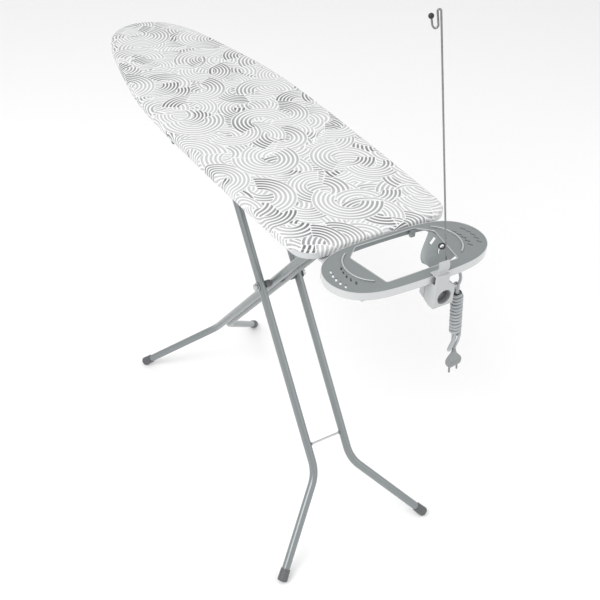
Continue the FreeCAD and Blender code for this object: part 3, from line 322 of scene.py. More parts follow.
def ring_group():
    """The ground of the print: rings round scattered points, each patch darker toward one side."""
    tree, source, result = new_group(
        "ring_ground", {"Vector": ORIGIN, "Patch": 0.12, "Pitch": LINE_PITCH}, ("Ink",))
    vector, patch, pitch = source.outputs[:3]
    cells = add(tree, "ShaderNodeTexVoronoi", vector, voronoi_dimensions="2D")
    tree.links.new(over(tree, 1.0, patch), cells.inputs["Scale"])
    cells.inputs["Randomness"].default_value = 0.75
    rings = over(tree, times(tree, cells.outputs["Distance"], patch), pitch)
    chance = add(tree, "ShaderNodeSeparateColor", cells.outputs["Color"]).outputs[0]
    turns = bearing(tree, vector_node(tree, "SUBTRACT", vector, cells.outputs["Position"]), chance)
    tone = ramp_node(tree, turns, 0.4, 0.95, 0.38, 0.72)
    line = ramp_node(tree, from_middle(tree, rings), 0.36, 0.18)
    tree.links.new(times(tree, line, tone), result.inputs["Ink"])
    return tree


# ---------------------------------------------------------------- materials
_materials = {}


def shader(name, **sockets):
    """A new material with its Principled shader, whose plain sockets are set by name."""
    made = bpy.data.materials.new(name)
    made.use_nodes = True
    tree = made.node_tree
    tree.nodes.clear()
    principled = tree.nodes.new("ShaderNodeBsdfPrincipled")
    output = tree.nodes.new("ShaderNodeOutputMaterial")
    tree.links.new(principled.outputs[0], output.inputs[0])
    for key, value in sockets.items():
        principled.inputs[key.replace("_", " ")].default_value = value
    _materials[name] = made
    return tree, principled, tree.nodes.new("ShaderNodeTexCoord").outputs["Object"]


def finish(tree, principled, surface, height, depth, rough=None):
    """Gives a shader its colour, its fine relief (depth in metres) and, where it varies, its roughness."""
    tree.links.new(surface, principled.inputs["Base Color"])
    if rough:
        tree.links.new(rough, principled.inputs["Roughness"])
    bump = tree.nodes.new("ShaderNodeBump")
    bump.inputs["Strength"].default_value = 1.0
    bump.inputs["Distance"].default_value = depth
    tree.links.new(height, bump.inputs["Height"])
    tree.links.new(bump.outputs[0], principled.inputs["Normal"])


def moulded(name, tint, rough, groups, fine=1100.0, contrast=0.12, depth=0.00006, scuffs=0.0,
            stretch=(40.0, 700.0, 700.0), metallic=0.0, **sockets):
    """Paint, plastic or plated metal: grain in its tone, gloss and surface, with a few scuffs."""
    tree, principled, place = shader(name, Metallic=metallic, **sockets)
    grain = use_group(tree, groups["grain"], Vector=place, Fine=fine, Contrast=contrast)
    marks = use_group(tree, groups["scuffs"], Vector=place, Stretch=stretch, Amount=scuffs).outputs[0]
    worn = tuple(min(1.0, 0.55 * c + 0.42) for c in tint)
    surface = mix_colour(tree, marks, toned(tree, tint, grain.outputs["Shade"]), (*worn, 1.0))
    gloss = ramp_node(tree, grain.outputs["Height"], 0.25, 0.75, rough - 0.05, rough + 0.07, smooth=False)
    dulled = math_node(tree, "ADD", gloss, times(tree, marks, 0.2), clamp=True)
    finish(tree, principled, surface, grain.outputs["Height"], depth, dulled)


def plated(name, tint, rough, groups):
    """Zinc plating: soft crystal patches under a satin metal."""
    tree, principled, place = shader(name, Metallic=0.9)
    grain = use_group(tree, groups["grain"], Vector=place, Fine=1600.0, Cloud=30.0, Contrast=0.25)
    crystals = add(tree, "ShaderNodeTexVoronoi", place, None, 210.0).outputs[1]
    patch = add(tree, "ShaderNodeSeparateColor", crystals).outputs[0]
    tone = times(tree, grain.outputs["Shade"], ramp_node(tree, patch, 0.0, 1.0, 0.86, 1.08, smooth=False))
    gloss = ramp_node(tree, patch, 0.0, 1.0, rough - 0.06, rough + 0.08, smooth=False)
    finish(tree, principled, toned(tree, tint, tone), grain.outputs["Height"], 0.00002, gloss)


def printed_cotton(groups, settings):
    """White cotton with overlapping fans of grey lines, on the cloth's own flat coordinates."""
    tree, principled, _place = shader("printed_cotton", Roughness=0.82, Sheen_Weight=0.25,
                                      Sheen_Roughness=0.5, Specular_IOR_Level=0.25)
    flat = add(tree, "ShaderNodeUVMap", uv_map="flat_cloth").outputs[0]
    ink = use_group(tree, groups["rings"], Vector=flat, Pitch=settings.arc_pitch).outputs[0]
    dice = random.Random(11)
    cell = settings.arc_radius / FAN_OUTER
    for layer in range(FAN_LAYERS):
        grow = dice.uniform(0.86, 1.22)
        lines = max(round(FAN_LINES * grow * LINE_PITCH / settings.arc_pitch), 4)
        shift = (dice.random(), dice.random(), 3.0 + layer)
        ink = use_group(tree, groups["fans"], Vector=flat, Below=ink, Cell=cell * grow, Lines=float(lines),
                        Turn=dice.uniform(0.0, math.pi), Shift=shift, Span=dice.uniform(0.34, 0.46)).outputs[0]
    weave = use_group(tree, groups["weave"], Vector=flat)
    ground = toned(tree, settings.cloth, weave.outputs["Shade"])
    inked = mix_colour(tree, ink, ground, (*settings.ink, 1.0))
    finish(tree, principled, inked, weave.outputs["Height"], 0.00012)


def open_foam(groups):
    """Pale foam with open cells."""
    tree, principled, place = shader("open_foam", Specular_IOR_Level=0.2)
    cells = add(tree, "ShaderNodeTexVoronoi", place, None, 520.0).outputs[0]
    grain = use_group(tree, groups["grain"], Vector=place, Fine=700.0, Contrast=0.2)
    surface = toned(tree, (0.74, 0.73, 0.69), grain.outputs["Shade"])
    finish(tree, principled, surface, cells, 0.0006, ramp_node(tree, cells, 0.0, 0.8, 0.95, 0.8, smooth=False))


def make_materials():
    """Every finish of the object, once."""
    groups = {"grain": grain_group(), "scuffs": scuff_group(), "weave": weave_group(), "fans": fan_group(),
              "rings": ring_group()}
    tints = bpy.context.scene.board_finish
    upright = (60.0, 60.0, 900.0)
    printed_cotton(groups, bpy.context.scene.board_cover)
    open_foam(groups)
    moulded("leg_paint", tints.leg_paint, 0.30, groups, 1400.0, 0.16, 0.00003, 0.18, metallic=0.45,
            Coat_Weight=0.3)
    moulded("board_paint", tints.board_paint, 0.42, groups, 1300.0, 0.14, 0.00004, 0.22)
    moulded("foot_plastic", tints.foot, 0.5, groups, 1500.0, 0.35, 0.00012, 0.3)
    moulded("rest_plastic", tints.rest, 0.36, groups, 1900.0, 0.12, 0.00006, 0.12, upright, metallic=0.3)
    # a lighter copy of the rest's plastic: painted highlight along the raised beads and the window's lip
    moulded("rest_ridge_painted_highlight", (0.46, 0.47, 0.475), 0.32, groups, 1900.0, 0.12, 0.00006, metallic=0.3)
    moulded("bright_trim", tints.trim, 0.2, groups, 500.0, 0.06, 0.00001, 0.15, metallic=0.35,
            Coat_Weight=0.5)
    moulded("socket_shell", tints.housing, 0.38, groups, 1700.0, 0.07, 0.00005, 0.1, upright)
    moulded("socket_inside", tints.insert, 0.45, groups, 1700.0, 0.1, 0.00005)
    moulded("cord_sheath", tints.sheath, 0.42, groups, 1200.0, 0.12, 0.00006, Coat_Weight=0.1)
    moulded("plug_shell", (0.235, 0.25, 0.255), 0.4, groups, 1500.0, 0.12, 0.00005, 0.1)
    moulded("tie_wire", (0.012, 0.012, 0.013), 0.45, groups, 1500.0, 0.3, 0.00005)
    moulded("hem_cord", (0.78, 0.78, 0.76), 0.8, groups, 2200.0, 0.25, 0.0003)
    moulded("seam_thread", (0.70, 0.71, 0.72), 0.7, groups, 3000.0, 0.3, 0.0001)
    plated("zinc", tints.zinc, 0.34, groups)
    plated("drawn_wire", (0.24, 0.25, 0.255), 0.3, groups)
    plated("contact_brass", (0.70, 0.53, 0.25), 0.3, groups)


def finish_nodes(**finishes):
    """Gives CAD nodes their materials: material name = names of nodes."""
    for material, names in finishes.items():
        for name in names.split():
            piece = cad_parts[name]
            if not piece.material_slots:
                piece.data.materials.append(None)
            for slot in piece.material_slots:
                slot.material = _materials[material]


# ---------------------------------------------------------------- mesh helpers
def new_piece(name, mesh, material, body="board", smooth=True):
    """An object of a finished mesh, with its material, riding on a body."""
    mesh.name = name
    piece = bpy.data.objects.new(name, mesh)
    bpy.context.scene.collection.objects.link(piece)
    if material:
        mesh.materials.clear()
        mesh.materials.append(_materials[material])
    if smooth:
        mesh.shade_smooth()
    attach(piece, body)
    return piece


def merged(mesh, distance):
    """A mesh with its doubles merged and its faces outward."""
    made = bmesh.new()
    made.from_mesh(mesh)
    bmesh.ops.remove_doubles(made, verts=made.verts, dist=distance)
    if len(made.faces):
        bmesh.ops.recalc_face_normals(made, faces=made.faces)
    made.to_mesh(mesh)
    made.free()
    return mesh


def mesh_of(points, faces, edges=()):
    """A clean mesh of points and the faces or edges between them."""
    mesh = bpy.data.meshes.new("piece")
    mesh.from_pydata([tuple(p) for p in points], list(edges), faces)
    return merged(mesh, 0.02 * MM)


def settled(piece):
    """Turns a piece with modifiers into a plain mesh."""
    graph = bpy.context.evaluated_depsgraph_get()
    mesh = bpy.data.meshes.new_from_object(piece.evaluated_get(graph))
    piece.modifiers.clear()
    piece.data = mesh
    return piece


def circle(middle, across, other, radius, count):
    """Points round a middle, in the plane of two directions."""
    return [middle + (across * math.cos(a) + other * math.sin(a)) * radius
            for a in (2 * math.pi * k / count for k in range(count))]


def lofted(sections, closed=True):
    """A skin over rings of points, each with as many points, with closed ends."""
    count = len(sections[0])
    points = [p for ring in sections for p in ring]
    faces = []
    for level in range(len(sections) - 1):
        a, b = level * count, (level + 1) * count
        faces += [(a + k, a + (k + 1) % count, b + (k + 1) % count, b + k) for k in range(count)]
    if closed:
        for level in (0, len(sections) - 1):
            points.append(sum((Vector(p) for p in sections[level]), Vector()) / count)
            hub = len(points) - 1
            faces += [(hub, level * count + k, level * count + (k + 1) % count) for k in range(count)]
    return mesh_of(points, faces)


def turned(start, way, profile, count=28):
    """A turned piece: profile holds (distance along the axis, radius)."""
    way = Vector(way).normalized()
    across = way.orthogonal().normalized()
    other = way.cross(across)
    return lofted([circle(Vector(start) + way * along, across, other, radius, count)
                   for along, radius in profile])


def add_subdivision(piece, levels=1):
    """Rounds a piece off."""
    modifier = piece.modifiers.new("Smooth", "SUBSURF")
    modifier.levels = modifier.render_levels = levels


def add_wall(piece, thickness):
    """Gives a sheet its thickness, inward."""
    wall = piece.modifiers.new("Wall", "SOLIDIFY")
    wall.thickness = thickness
    wall.offset = -1.0


# ---------------------------------------------------------------- geometry node trees
def node_tree_modifier(piece, tree, **values):
    """Puts a Geometry Nodes tree on a piece and sets its inputs by their sockets' identifiers."""
    modifier = piece.modifiers.new(tree.name, "NODES")
    modifier.node_group = tree
    sockets = {s.name: s.identifier for s in tree.interface.items_tree if s.in_out == "INPUT"}
    for key, value in values.items():
        modifier[sockets[key.replace("_", " ")]] = value


def shape_node(tree, kind, settings=None, **inputs):
    """Adds a Geometry Nodes node with named inputs, where a node stands for its first output."""
    made = add(tree, "GeometryNode" + kind, **(settings or {}))
    for key, value in inputs.items():
        given = value.outputs[0] if isinstance(value, bpy.types.Node) else value
        feed(tree, made.inputs[key.replace("_", " ")], given)
    return made


def end_tree(tree, source, result, shape, smooth=False):
    """Ends a tree: its instances made real, and their material."""
    shape = shape_node(tree, "RealizeInstances", Geometry=shape)
    if smooth:
        shape = shape_node(tree, "SetShadeSmooth", Geometry=shape)
    coat = shape_node(tree, "SetMaterial", Geometry=shape, Material=source.outputs["Material"])
    tree.links.new(coat.outputs[0], result.inputs[0])
    return tree


def expanded_metal_tree():
    """Opens every face of a sheet into a hole with a strand all round it."""
    tree, source, result = new_group(
        "expanded_metal", {"Geometry": GEOMETRY, "Opening": 0.76, "Material": MATERIAL},
        ("Geometry",), "GeometryNodeTree")
    inset = shape_node(tree, "ExtrudeMesh", {"mode": "FACES"}, Mesh=source, Offset_Scale=0.0)
    hole = inset.outputs["Top"]
    shrunk = shape_node(tree, "ScaleElements", {"domain": "FACE"}, Geometry=inset, Selection=hole,
                        Scale=source.outputs["Opening"])
    opened = shape_node(tree, "DeleteGeometry", {"domain": "FACE", "mode": "ALL"}, Geometry=shrunk,
                        Selection=hole)
    return end_tree(tree, source, result, opened)


def rivet_tree():
    """A domed head on every point."""
    tree, source, result = new_group(
        "domed_rivets", {"Geometry": GEOMETRY, "Radius": 0.0035, "Flatness": 0.42, "Material": MATERIAL},
        ("Geometry",), "GeometryNodeTree")
    ball = shape_node(tree, "MeshUVSphere", Segments=14, Rings=8, Radius=source.outputs["Radius"])
    size = add(tree, "ShaderNodeCombineXYZ", 1.0, 1.0, source.outputs["Flatness"])
    head = shape_node(tree, "Transform", Geometry=ball, Scale=size)
    rivets = shape_node(tree, "InstanceOnPoints", Points=source, Instance=head)
    return end_tree(tree, source, result, rivets, smooth=True)


def stitch_tree():
    """Short threads laid end to end along a line of edges."""
    tree, source, result = new_group(
        "stitches", {"Geometry": GEOMETRY, "Pitch": 0.0045, "Thread": 0.00035, "Length": 0.0030,
                     "Material": MATERIAL}, ("Geometry",), "GeometryNodeTree")
    thick = source.outputs["Thread"]
    line = shape_node(tree, "MeshToCurve", Mesh=source)
    spots = shape_node(tree, "CurveToPoints", {"mode": "LENGTH"}, Curve=line, Length=source.outputs["Pitch"])
    bead = shape_node(tree, "MeshUVSphere", Segments=6, Rings=5, Radius=1.0)
    size = add(tree, "ShaderNodeCombineXYZ", thick, thick, times(tree, source.outputs["Length"], 0.5))
    thread = shape_node(tree, "Transform", Geometry=bead, Scale=size)
    threads = shape_node(tree, "InstanceOnPoints", Points=spots, Instance=thread,
                         Rotation=spots.outputs["Rotation"])
    return end_tree(tree, source, result, threads)


# ---------------------------------------------------------------- the board's plan
OUTLINE_COUNT = 130
SPINE = (-0.560, 0.420)


def board_outline():
    """Plan outline of the cover, read off the frame: points and outward directions, all round."""
    flat = sorted({(round(v.co.x, 5), round(abs(v.co.y), 5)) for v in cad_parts["cover"].data.vertices})
    upper = []
    for p in flat:
        while len(upper) > 1 and ((upper[-1][0] - upper[-2][0]) * (p[1] - upper[-2][1])
                                  - (upper[-1][1] - upper[-2][1]) * (p[0] - upper[-2][0])) >= 0:
            upper.pop()
        upper.append(p)
    corners = np.array([(upper[0][0], 0.0)] + upper + [(upper[-1][0], 0.0)])
    along = np.concatenate([[0], np.cumsum(np.hypot(*np.diff(corners, axis=0).T))])
    at = np.linspace(0, along[-1], OUTLINE_COUNT + 1)
    half = np.stack([np.interp(at, along, corners[:, k]) for k in (0, 1)], axis=1)
    whole = np.concatenate([half, half[-2:0:-1] * (1, -1)])
    for _ in range(2):
        whole = 0.5 * whole + 0.25 * (np.roll(whole, 1, 0) + np.roll(whole, -1, 0))
    ahead = np.roll(whole, -1, 0) - np.roll(whole, 1, 0)
    ahead /= np.linalg.norm(ahead, axis=1)[:, None]
    return whole, np.stack([-ahead[:, 1], ahead[:, 0]], axis=1)


def outline_ring(plan, outward, inset, height):
    """The outline set in by a distance, at a height: numbers, or one for each point."""
    flat = plan - outward * np.reshape(inset, (-1, 1))
    return np.column_stack([flat, np.broadcast_to(height, len(flat))])


def toward_spine(ring, share, height):
    """A ring drawn in toward the board's middle line."""
    spine = np.clip(ring[:, 0], *SPINE)
    flat = ring[:, :2] + (np.column_stack([spine, np.zeros(len(ring))]) - ring[:, :2]) * share
    return np.column_stack([flat, np.full(len(ring), height)])


def ring_skin(rings, flats=None):
    """A skin over rings of the outline, with the cloth's flat coordinates as its UV map."""
    count = len(rings[0])
    points = np.concatenate(rings)
    faces = [(a + k, a + (k + 1) % count, a + count + (k + 1) % count, a + count + k)
             for a in range(0, len(points) - count, count) for k in range(count)]
    mesh = bpy.data.meshes.new("piece")
    mesh.from_pydata(points.tolist(), [], faces)
    if flats is not None:
        flat = np.concatenate(flats)
        layer = mesh.uv_layers.new(name="flat_cloth")
        corner = np.zeros(len(mesh.loops), int)
        mesh.loops.foreach_get("vertex_index", corner)
        layer.data.foreach_set("uv", flat[corner].astype(np.float32).ravel())
    return merged(mesh, 0.1 * MM)


# ---------------------------------------------------------------- operators
class BOARD_OT_finishes(bpy.types.Operator):
    """Make every material, and give the frame's own nodes theirs"""

    bl_idname = "board.finishes"
    bl_label = "Finishes"

    def execute(self, context):
        make_materials()
        finish_nodes(
            leg_paint="leg_a_tube_left leg_a_tube_right leg_b_tube_left leg_b_tube_right "
                      "leg_a_ear_left leg_a_ear_right",
            zinc="leg_a_axle axle_clips pivot_bolt pivot_nut pivot_washers leg_b_top_bar leg_b_cross_rod "
                 "release_lever lock_hooks rest_screws",
            drawn_wire="antenna_rod plug_pins",
            tie_wire="antenna_ball antenna_eyelet",
            foot_plastic="leg_a_foot_left leg_a_foot_right leg_b_foot_left leg_b_foot_right lever_grip "
                         "slide_rollers leg_a_spacer pivot_spacers lever_bearings clamp_pad",
            board_paint="board_rim cross_braces rail_left rail_right height_rack_left height_rack_right "
                        "hinge_bracket rest_arm_left rest_arm_right rest_cross_plates",
            rest_plastic="iron_rest_tray rest_wing_left rest_wing_right",
            bright_trim="rest_trim",
            socket_shell="socket_housing socket_back rod_clip",
            socket_inside="socket_insert",
            contact_brass="socket_contacts")
        return {"FINISHED"}


HANK_TOP = Vector((658.0, 80.0, 866.0)) * MM
HANK_WAY = Vector((0.0, 16.0, -128.0)).normalized()
HANK_SIDE = HANK_WAY.cross(Vector((1, 0, 0))).normalized()
LEAD = [(646.0, 57.66, 890.43), (646.5, 65.2, 896.7), (648.0, 75.0, 897.6), (651.0, 83.5, 892.7),
        (654.0, 87.6, 883.8), (657.0, 85.9, 874.1), (658.0, 81.0, 867.0)]
GLAND = Vector((646.0, 50.0, 884.0)) * MM
GLAND_WAY = Vector((0.0, 0.766, 0.643))
PLUG_TOP = Vector((658.0, 101.457, 694.340)) * MM
TURN_POINTS = 14
TIE_RADIUS = 0.0011
PLUG_SIDES = 32


def hank_point(down, across=0.0, aside=0.0):
    """A point of the hank, in millimetres: down from its top, along X, and square to both."""
    return HANK_TOP + (HANK_WAY * down + Vector((across, 0, 0)) + HANK_SIDE * aside) * MM


def cord_route(settings):
    """The cord from the socket to its plug: lead, folded strands, turns wound round them, tail."""
    dice = random.Random(5)
    spread, winding = settings.strand_radius / MM, settings.turn_radius / MM
    corners = [(spread * math.cos(a), spread * math.sin(a)) for a in (0.8, 2.4, 4.0, 5.5)]
    route = [Vector(p) * MM for p in LEAD]

    def follow(*places):
        route.extend(hank_point(*place) for place in places)

    def strand(corner, downs):
        follow(*[(down, corner[0] + dice.uniform(-0.3, 0.3), corner[1] + dice.uniform(-0.3, 0.3))
                 for down in downs])

    def wound(down, turn, radius):
        follow((down, radius * math.cos(turn), radius * math.sin(turn)))

    strand(corners[0], (12, 32, 62, 92, 116))
    # the loop that hangs beside the plug, down in front and up behind
    follow((127, 2.0, 0.5), (137, 3.0, 3.0), (147, 3.4, 6.5), (156, 2.6, 9.8), (163, 0.4, 12.2),
           (167.5, -3.2, 11.6), (167.5, -6.8, 7.6), (161, -7.6, 3.0), (150, -5.8, -0.4), (138, -4.4, 0.6),
           (128, -3.4, 2.0))
    strand(corners[1], (116, 92, 62, 32))
    # over the top
    follow((16, -3.6, 3.4), (6, -5.4, 4.8), (-0.5, -6.4, 1.8), (-0.5, -5.8, -3.0), (6, -4.2, -5.4),
           (16, -2.8, -3.8))
    strand(corners[2], (32, 62, 92, 114))
    # and under the bottom
    follow((120, -4.0, -4.0), (126, -4.8, -5.6), (131, -2.6, -7.2), (131, 2.6, -7.2), (126, 4.8, -5.6),
           (120, 4.0, -4.0))
    strand(corners[3], (114, 92, 62, 34))
    # out of the bundle, then round it
    for down, turn, radius in ((26.0, 5.6, 5.0), (20.5, 5.9, 7.4), (19.4, 6.4, 9.2)):
        wound(down, turn, radius)
    for k in range(round(settings.turns * TURN_POINTS) + 1):
        wobble = 0.35 * math.sin(k * 0.61) + dice.uniform(-0.12, 0.12)
        wound(21.0 + settings.turn_pitch / MM * k / TURN_POINTS + wobble * 0.7,
              6.9 + 2 * math.pi * k / TURN_POINTS, winding + wobble * 0.6)
    follow((122.5, 8.6, -4.6), (129, 8.8, -2.8), (138, 6.6, -3.8), (148, 3.0, -4.2), (158, 0.8, -2.0),
           (167, 0.0, 0.0), (176, 0.0, 0.0))
    return route


def curve_mesh(route, radius):
    """The mesh of a round cord on one smooth spline; with no radius, only the line it follows."""
    curve = bpy.data.curves.new("line", "CURVE")
    curve.dimensions = "3D"
    curve.bevel_depth = radius
    curve.bevel_resolution = 5
    curve.use_fill_caps = True
    curve.resolution_u = 5
    spline = curve.splines.new("NURBS")
    spline.points.add(len(route) - 1)
    for point, where in zip(spline.points, route):
        point.co = (*where, 1.0)
    spline.order_u = 3
    spline.use_endpoint_u = True
    mesh = bpy.data.meshes.new_from_object(bpy.data.objects.new("line", curve))
    bpy.data.curves.remove(curve)
    return mesh


class BOARD_OT_cord(bpy.types.Operator):
    """Make the wound cord, its strain relief, its tie and its plug"""

    bl_idname = "board.cord"
    bl_label = "Cord and plug"

    def execute(self, context):
        settings = context.scene.board_cord
        route = cord_route(settings)
        line = [tuple(v.co) for v in curve_mesh(route, 0.0).vertices]
        cord = new_piece("socket_cord", curve_mesh(route, settings.diameter / 2), "cord_sheath")
        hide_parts("cord_lead", "cord_hank", "cord_tail")
        relief = self.strain_relief()
        plug = self.plug()
        tie = self.tie()
        return {"FINISHED"}

    def strain_relief(self):
        """A tapered sleeve with grooves, where the cord leaves the housing."""
        profile = [(-1.5 * MM, 5.4 * MM)]
        for k in range(5):
            along, radius = 0.8 + 2.6 * k, 5.4 - 0.32 * k
            profile += [(along * MM, radius * MM), ((along + 1.2) * MM, radius * MM),
                        ((along + 1.5) * MM, (radius - 0.8) * MM), ((along + 2.3) * MM, (radius - 0.8) * MM)]
        profile += [(13.8 * MM, 3.7 * MM), (15.0 * MM, 3.25 * MM)]
        piece = new_piece("cord_relief", turned(GLAND, GLAND_WAY, profile), "socket_shell")
        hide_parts("cord_gland")
        return piece

    def plug(self):
        """A flat two-pin plug with a waist, finger ribs and a ribbed neck."""
        # down from the plug's top, half width, half thickness
        sections = [(-9.0, 3.4, 3.4), (-8.6, 3.9, 3.9), (-7.4, 3.9, 3.9), (-7.0, 3.4, 3.4), (-6.0, 3.4, 3.4),
                    (-5.6, 4.2, 4.2), (-4.4, 4.2, 4.2), (-4.0, 3.6, 3.6), (-3.0, 3.6, 3.6), (-2.6, 4.5, 4.5),
                    (0.0, 5.0, 4.8), (4.5, 5.9, 5.3), (9.0, 7.7, 6.0), (14.0, 11.2, 6.7), (18.5, 14.6, 7.0)]
        for k in range(4):
            along = 20.0 + 2.4 * k
            wide = min(15.9 + 0.9 * k, 17.0)
            sections += [(along, wide, 7.0), (along + 0.5, wide - 0.5, 6.4), (along + 1.3, wide - 0.4, 6.4),
                         (along + 1.8, wide + 0.2, 7.0)]
        sections += [(30.5, 16.8, 7.0), (33.6, 15.8, 7.0), (35.4, 15.2, 6.9), (35.8, 15.0, 6.8),
                     (36.0, 14.4, 6.2)]
        rings = []
        for down, half_wide, half_thick in sections:
            corner = 0.36 if half_wide > 8 else 0.7 if half_wide > 6 else 1.0
            ring = []
            for k in range(PLUG_SIDES):
                a = 2 * math.pi * (k + 0.5) / PLUG_SIDES
                wide = math.copysign(abs(math.cos(a)) ** corner, math.cos(a)) * half_wide
                thick = math.copysign(abs(math.sin(a)) ** corner, math.sin(a)) * half_thick
                ring.append(PLUG_TOP + (HANK_WAY * down - HANK_SIDE * wide + Vector((thick, 0, 0))) * MM)
            rings.append(ring)
        piece = new_piece("plug_moulding", lofted(rings), "plug_shell")
        add_subdivision(piece)
        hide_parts("plug_body")
        return piece

    def tie(self):
        """A black wire tie: two turns round the strands, its ends twisted together."""
        points = []
        for k in range(31):
            turn = 2 * math.pi * k / 12.0
            points.append(hank_point(17.0 + 0.09 * k, 7.9 * math.cos(turn), 7.9 * math.sin(turn)))
        for k in range(10):
            turn = 1.4 * k
            down = 19.7 + 0.5 * k + 0.5 * math.sin(turn)
            points.append(hank_point(down, -8.4 - 0.9 * k, 0.9 * math.cos(turn)))
        piece = new_piece("hank_tie_wire", curve_mesh(points, TIE_RADIUS), "tie_wire")
        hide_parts("hank_tie")
        return piece


CLOTH_WALL, HEM_CORD_RADIUS = 0.0009, 0.0014


class BOARD_OT_cover(bpy.types.Operator):
    """Make the printed cover with its drawn hem, drawcord and stitching"""

    bl_idname = "board.cover"
    bl_label = "Cover"

    def execute(self, context):
        settings = context.scene.board_cover
        plan, outward = board_outline()
        low, high = COVER_LOW.z, COVER_HIGH.z
        round_run = np.linspace(0, 2 * math.pi, len(plan), endpoint=False)
        uneven = 1.7 * np.sin(5 * round_run) + 0.9 * np.sin(13 * round_run + 1.0)
        pucker = np.sin(settings.puckers * round_run + uneven)
        sag = 0.0004 * np.sin(7 * round_run + 0.4) + 0.0003 * np.sin(17 * round_run)
        # inset from the outline, height, share of the puckers
        edge = [(0.016, high - 0.0002, 0.0), (0.010, high - 0.0003, 0.0), (0.0062, high - 0.0009, 0.0),
                (0.0032, high - 0.0022, 0.0), (0.0012, high - 0.0044, 0.05), (0.0003, high - 0.0075, 0.1),
                (0.0003, high - 0.012, 0.16), (0.0005, low + 0.0055, 0.28), (0.0011, low + 0.0022, 0.45),
                (0.0030, low + 0.0004, 0.7), (0.0065, low + 0.0001, 1.0), (0.0105, low + 0.0003, 1.2),
                (0.0150, low + 0.0006, 1.3)]
        rings, flats, run = [], [], -edge[0][0]
        for index, (inset, height, share) in enumerate(edge):
            if index:
                before = edge[index - 1]
                run += math.hypot(inset - before[0], height - before[1])
            moved = inset + settings.gather * 0.35 * share * pucker
            lifted = height + (sag + settings.gather * 0.55 * (pucker - 0.6)) * share
            rings.append(outline_ring(plan, outward, moved, lifted))
            flats.append(plan + outward * run)
        inner = rings[0]
        for share in (0.12, 0.28, 0.5, 0.75, 1.0):
            rings.insert(0, toward_spine(inner, share, high - 0.0002 + 0.0002 * share))
            flats.insert(0, rings[0][:, :2])
        cover = new_piece("cover_cloth", ring_skin(rings, flats), "printed_cotton")
        add_wall(cover, CLOTH_WALL)
        add_subdivision(cover)
        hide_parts("cover")
        hem = self.hem(rings[-1])
        stitches = self.stitches(rings[-2])
        return {"FINISHED"}

    def hem(self, ring):
        """The drawcord that shows along the hem under the board."""
        lowered = ring + (0, 0, -0.0006)
        ahead = np.roll(lowered, -1, 0) - np.roll(lowered, 1, 0)
        up = Vector((0, 0, 1))
        across = [Vector(way).normalized().cross(up).normalized() for way in ahead]
        rings = [circle(Vector(middle), way, up, HEM_CORD_RADIUS, 10) for middle, way in zip(lowered, across)]
        rings.append(rings[0])
        return new_piece("cover_hem", lofted(rings, closed=False), "hem_cord")

    def stitches(self, ring):
        """The row of stitches that holds the casing of the hem."""
        line = ring + (0, 0, -0.0005)
        count = len(line)
        mesh = mesh_of(line.tolist(), [], [(k, (k + 1) % count) for k in range(count)])
        piece = new_piece("hem_stitches", mesh, None, smooth=False)
        node_tree_modifier(piece, stitch_tree(), Pitch=0.006, Length=0.0042, Material=_materials["seam_thread"])
        return settled(piece)


class BOARD_OT_pad(bpy.types.Operator):
    """Make the foam under the cover"""

    bl_idname = "board.pad"
    bl_label = "Foam pad"

    def execute(self, context):
        plan, outward = board_outline()
        low, high = (corner.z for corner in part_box("foam_pad"))
        middle = (low + high) / 2
        edge = [(0.010, high - 0.0001), (0.0052, high - 0.0004), (0.0034, high - 0.0012), (0.0028, middle),
                (0.0034, low + 0.0010), (0.0052, low + 0.0003), (0.010, low + 0.0001)]
        rings = [outline_ring(plan, outward, inset, height) for inset, height in edge]
        top, bottom = rings[0], rings[-1]
        for share in (0.2, 0.5, 1.0):
            rings.insert(0, toward_spine(top, share, high - 0.0001))
            rings.append(toward_spine(bottom, share, low + 0.0001))
        pad = new_piece("foam_sheet", ring_skin(rings), "open_foam")
        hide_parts("foam_pad")
        return {"FINISHED"}


SHEET_WALL, SHEET_INSET = 0.0010, 0.011
SHEET_REACH = (0.7, 0.2)


class BOARD_OT_mesh_top(bpy.types.Operator):
    """Make the expanded metal sheet under the foam"""

    bl_idname = "board.mesh_top"
    bl_label = "Mesh top"

    def execute(self, context):
        settings = context.scene.board_cover
        plan, outward = board_outline()
        low, high = (corner.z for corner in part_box("mesh_top"))
        inner = outline_ring(plan, outward, SHEET_INSET, high)
        xs, ys = np.array(sorted((x, abs(y)) for x, y, _z in inner)).T
        long, wide = settings.hole_long / 2, settings.hole_wide / 2
        points, faces, index = [], [], {}

        def corner(i, j):
            if (i, j) not in index:
                index[i, j] = len(points)
                points.append((i * long, j * wide, high - 0.0001))
            return index[i, j]

        reach_x, reach_y = int(SHEET_REACH[0] / long), int(SHEET_REACH[1] / wide)
        for i in range(-reach_x, reach_x + 1):
            for j in range(-reach_y, reach_y + 1):
                x, y = i * long, abs(j) * wide
                if (i + j) % 2 or not (xs[0] < x - long and x + long < xs[-1]):
                    continue
                room = min(np.interp(x + s * long, xs, ys) for s in (-1, 0, 1))
                if y + wide < room:
                    faces.append((corner(i - 1, j), corner(i, j - 1), corner(i + 1, j), corner(i, j + 1)))
        mesh = bpy.data.meshes.new("mesh_sheet")
        mesh.from_pydata(points, [], faces)
        sheet = new_piece("mesh_sheet", mesh, None, smooth=False)
        node_tree_modifier(sheet, expanded_metal_tree(), Opening=0.78, Material=_materials["zinc"])
        settled(sheet)
        add_wall(sheet, SHEET_WALL)
        settled(sheet)
        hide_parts("mesh_top")
        upper, lower = high - 0.00005, low + 0.00005
        levels = [(0.0022, upper), (0.0022, lower), (0.020, lower), (0.020, upper), (0.0022, upper)]
        rings = [outline_ring(plan, outward, inset, height) for inset, height in levels]
        new_piece("mesh_border", ring_skin(rings), "zinc", smooth=False)
        return {"FINISHED"}


RIVET_RADIUS = 0.0036
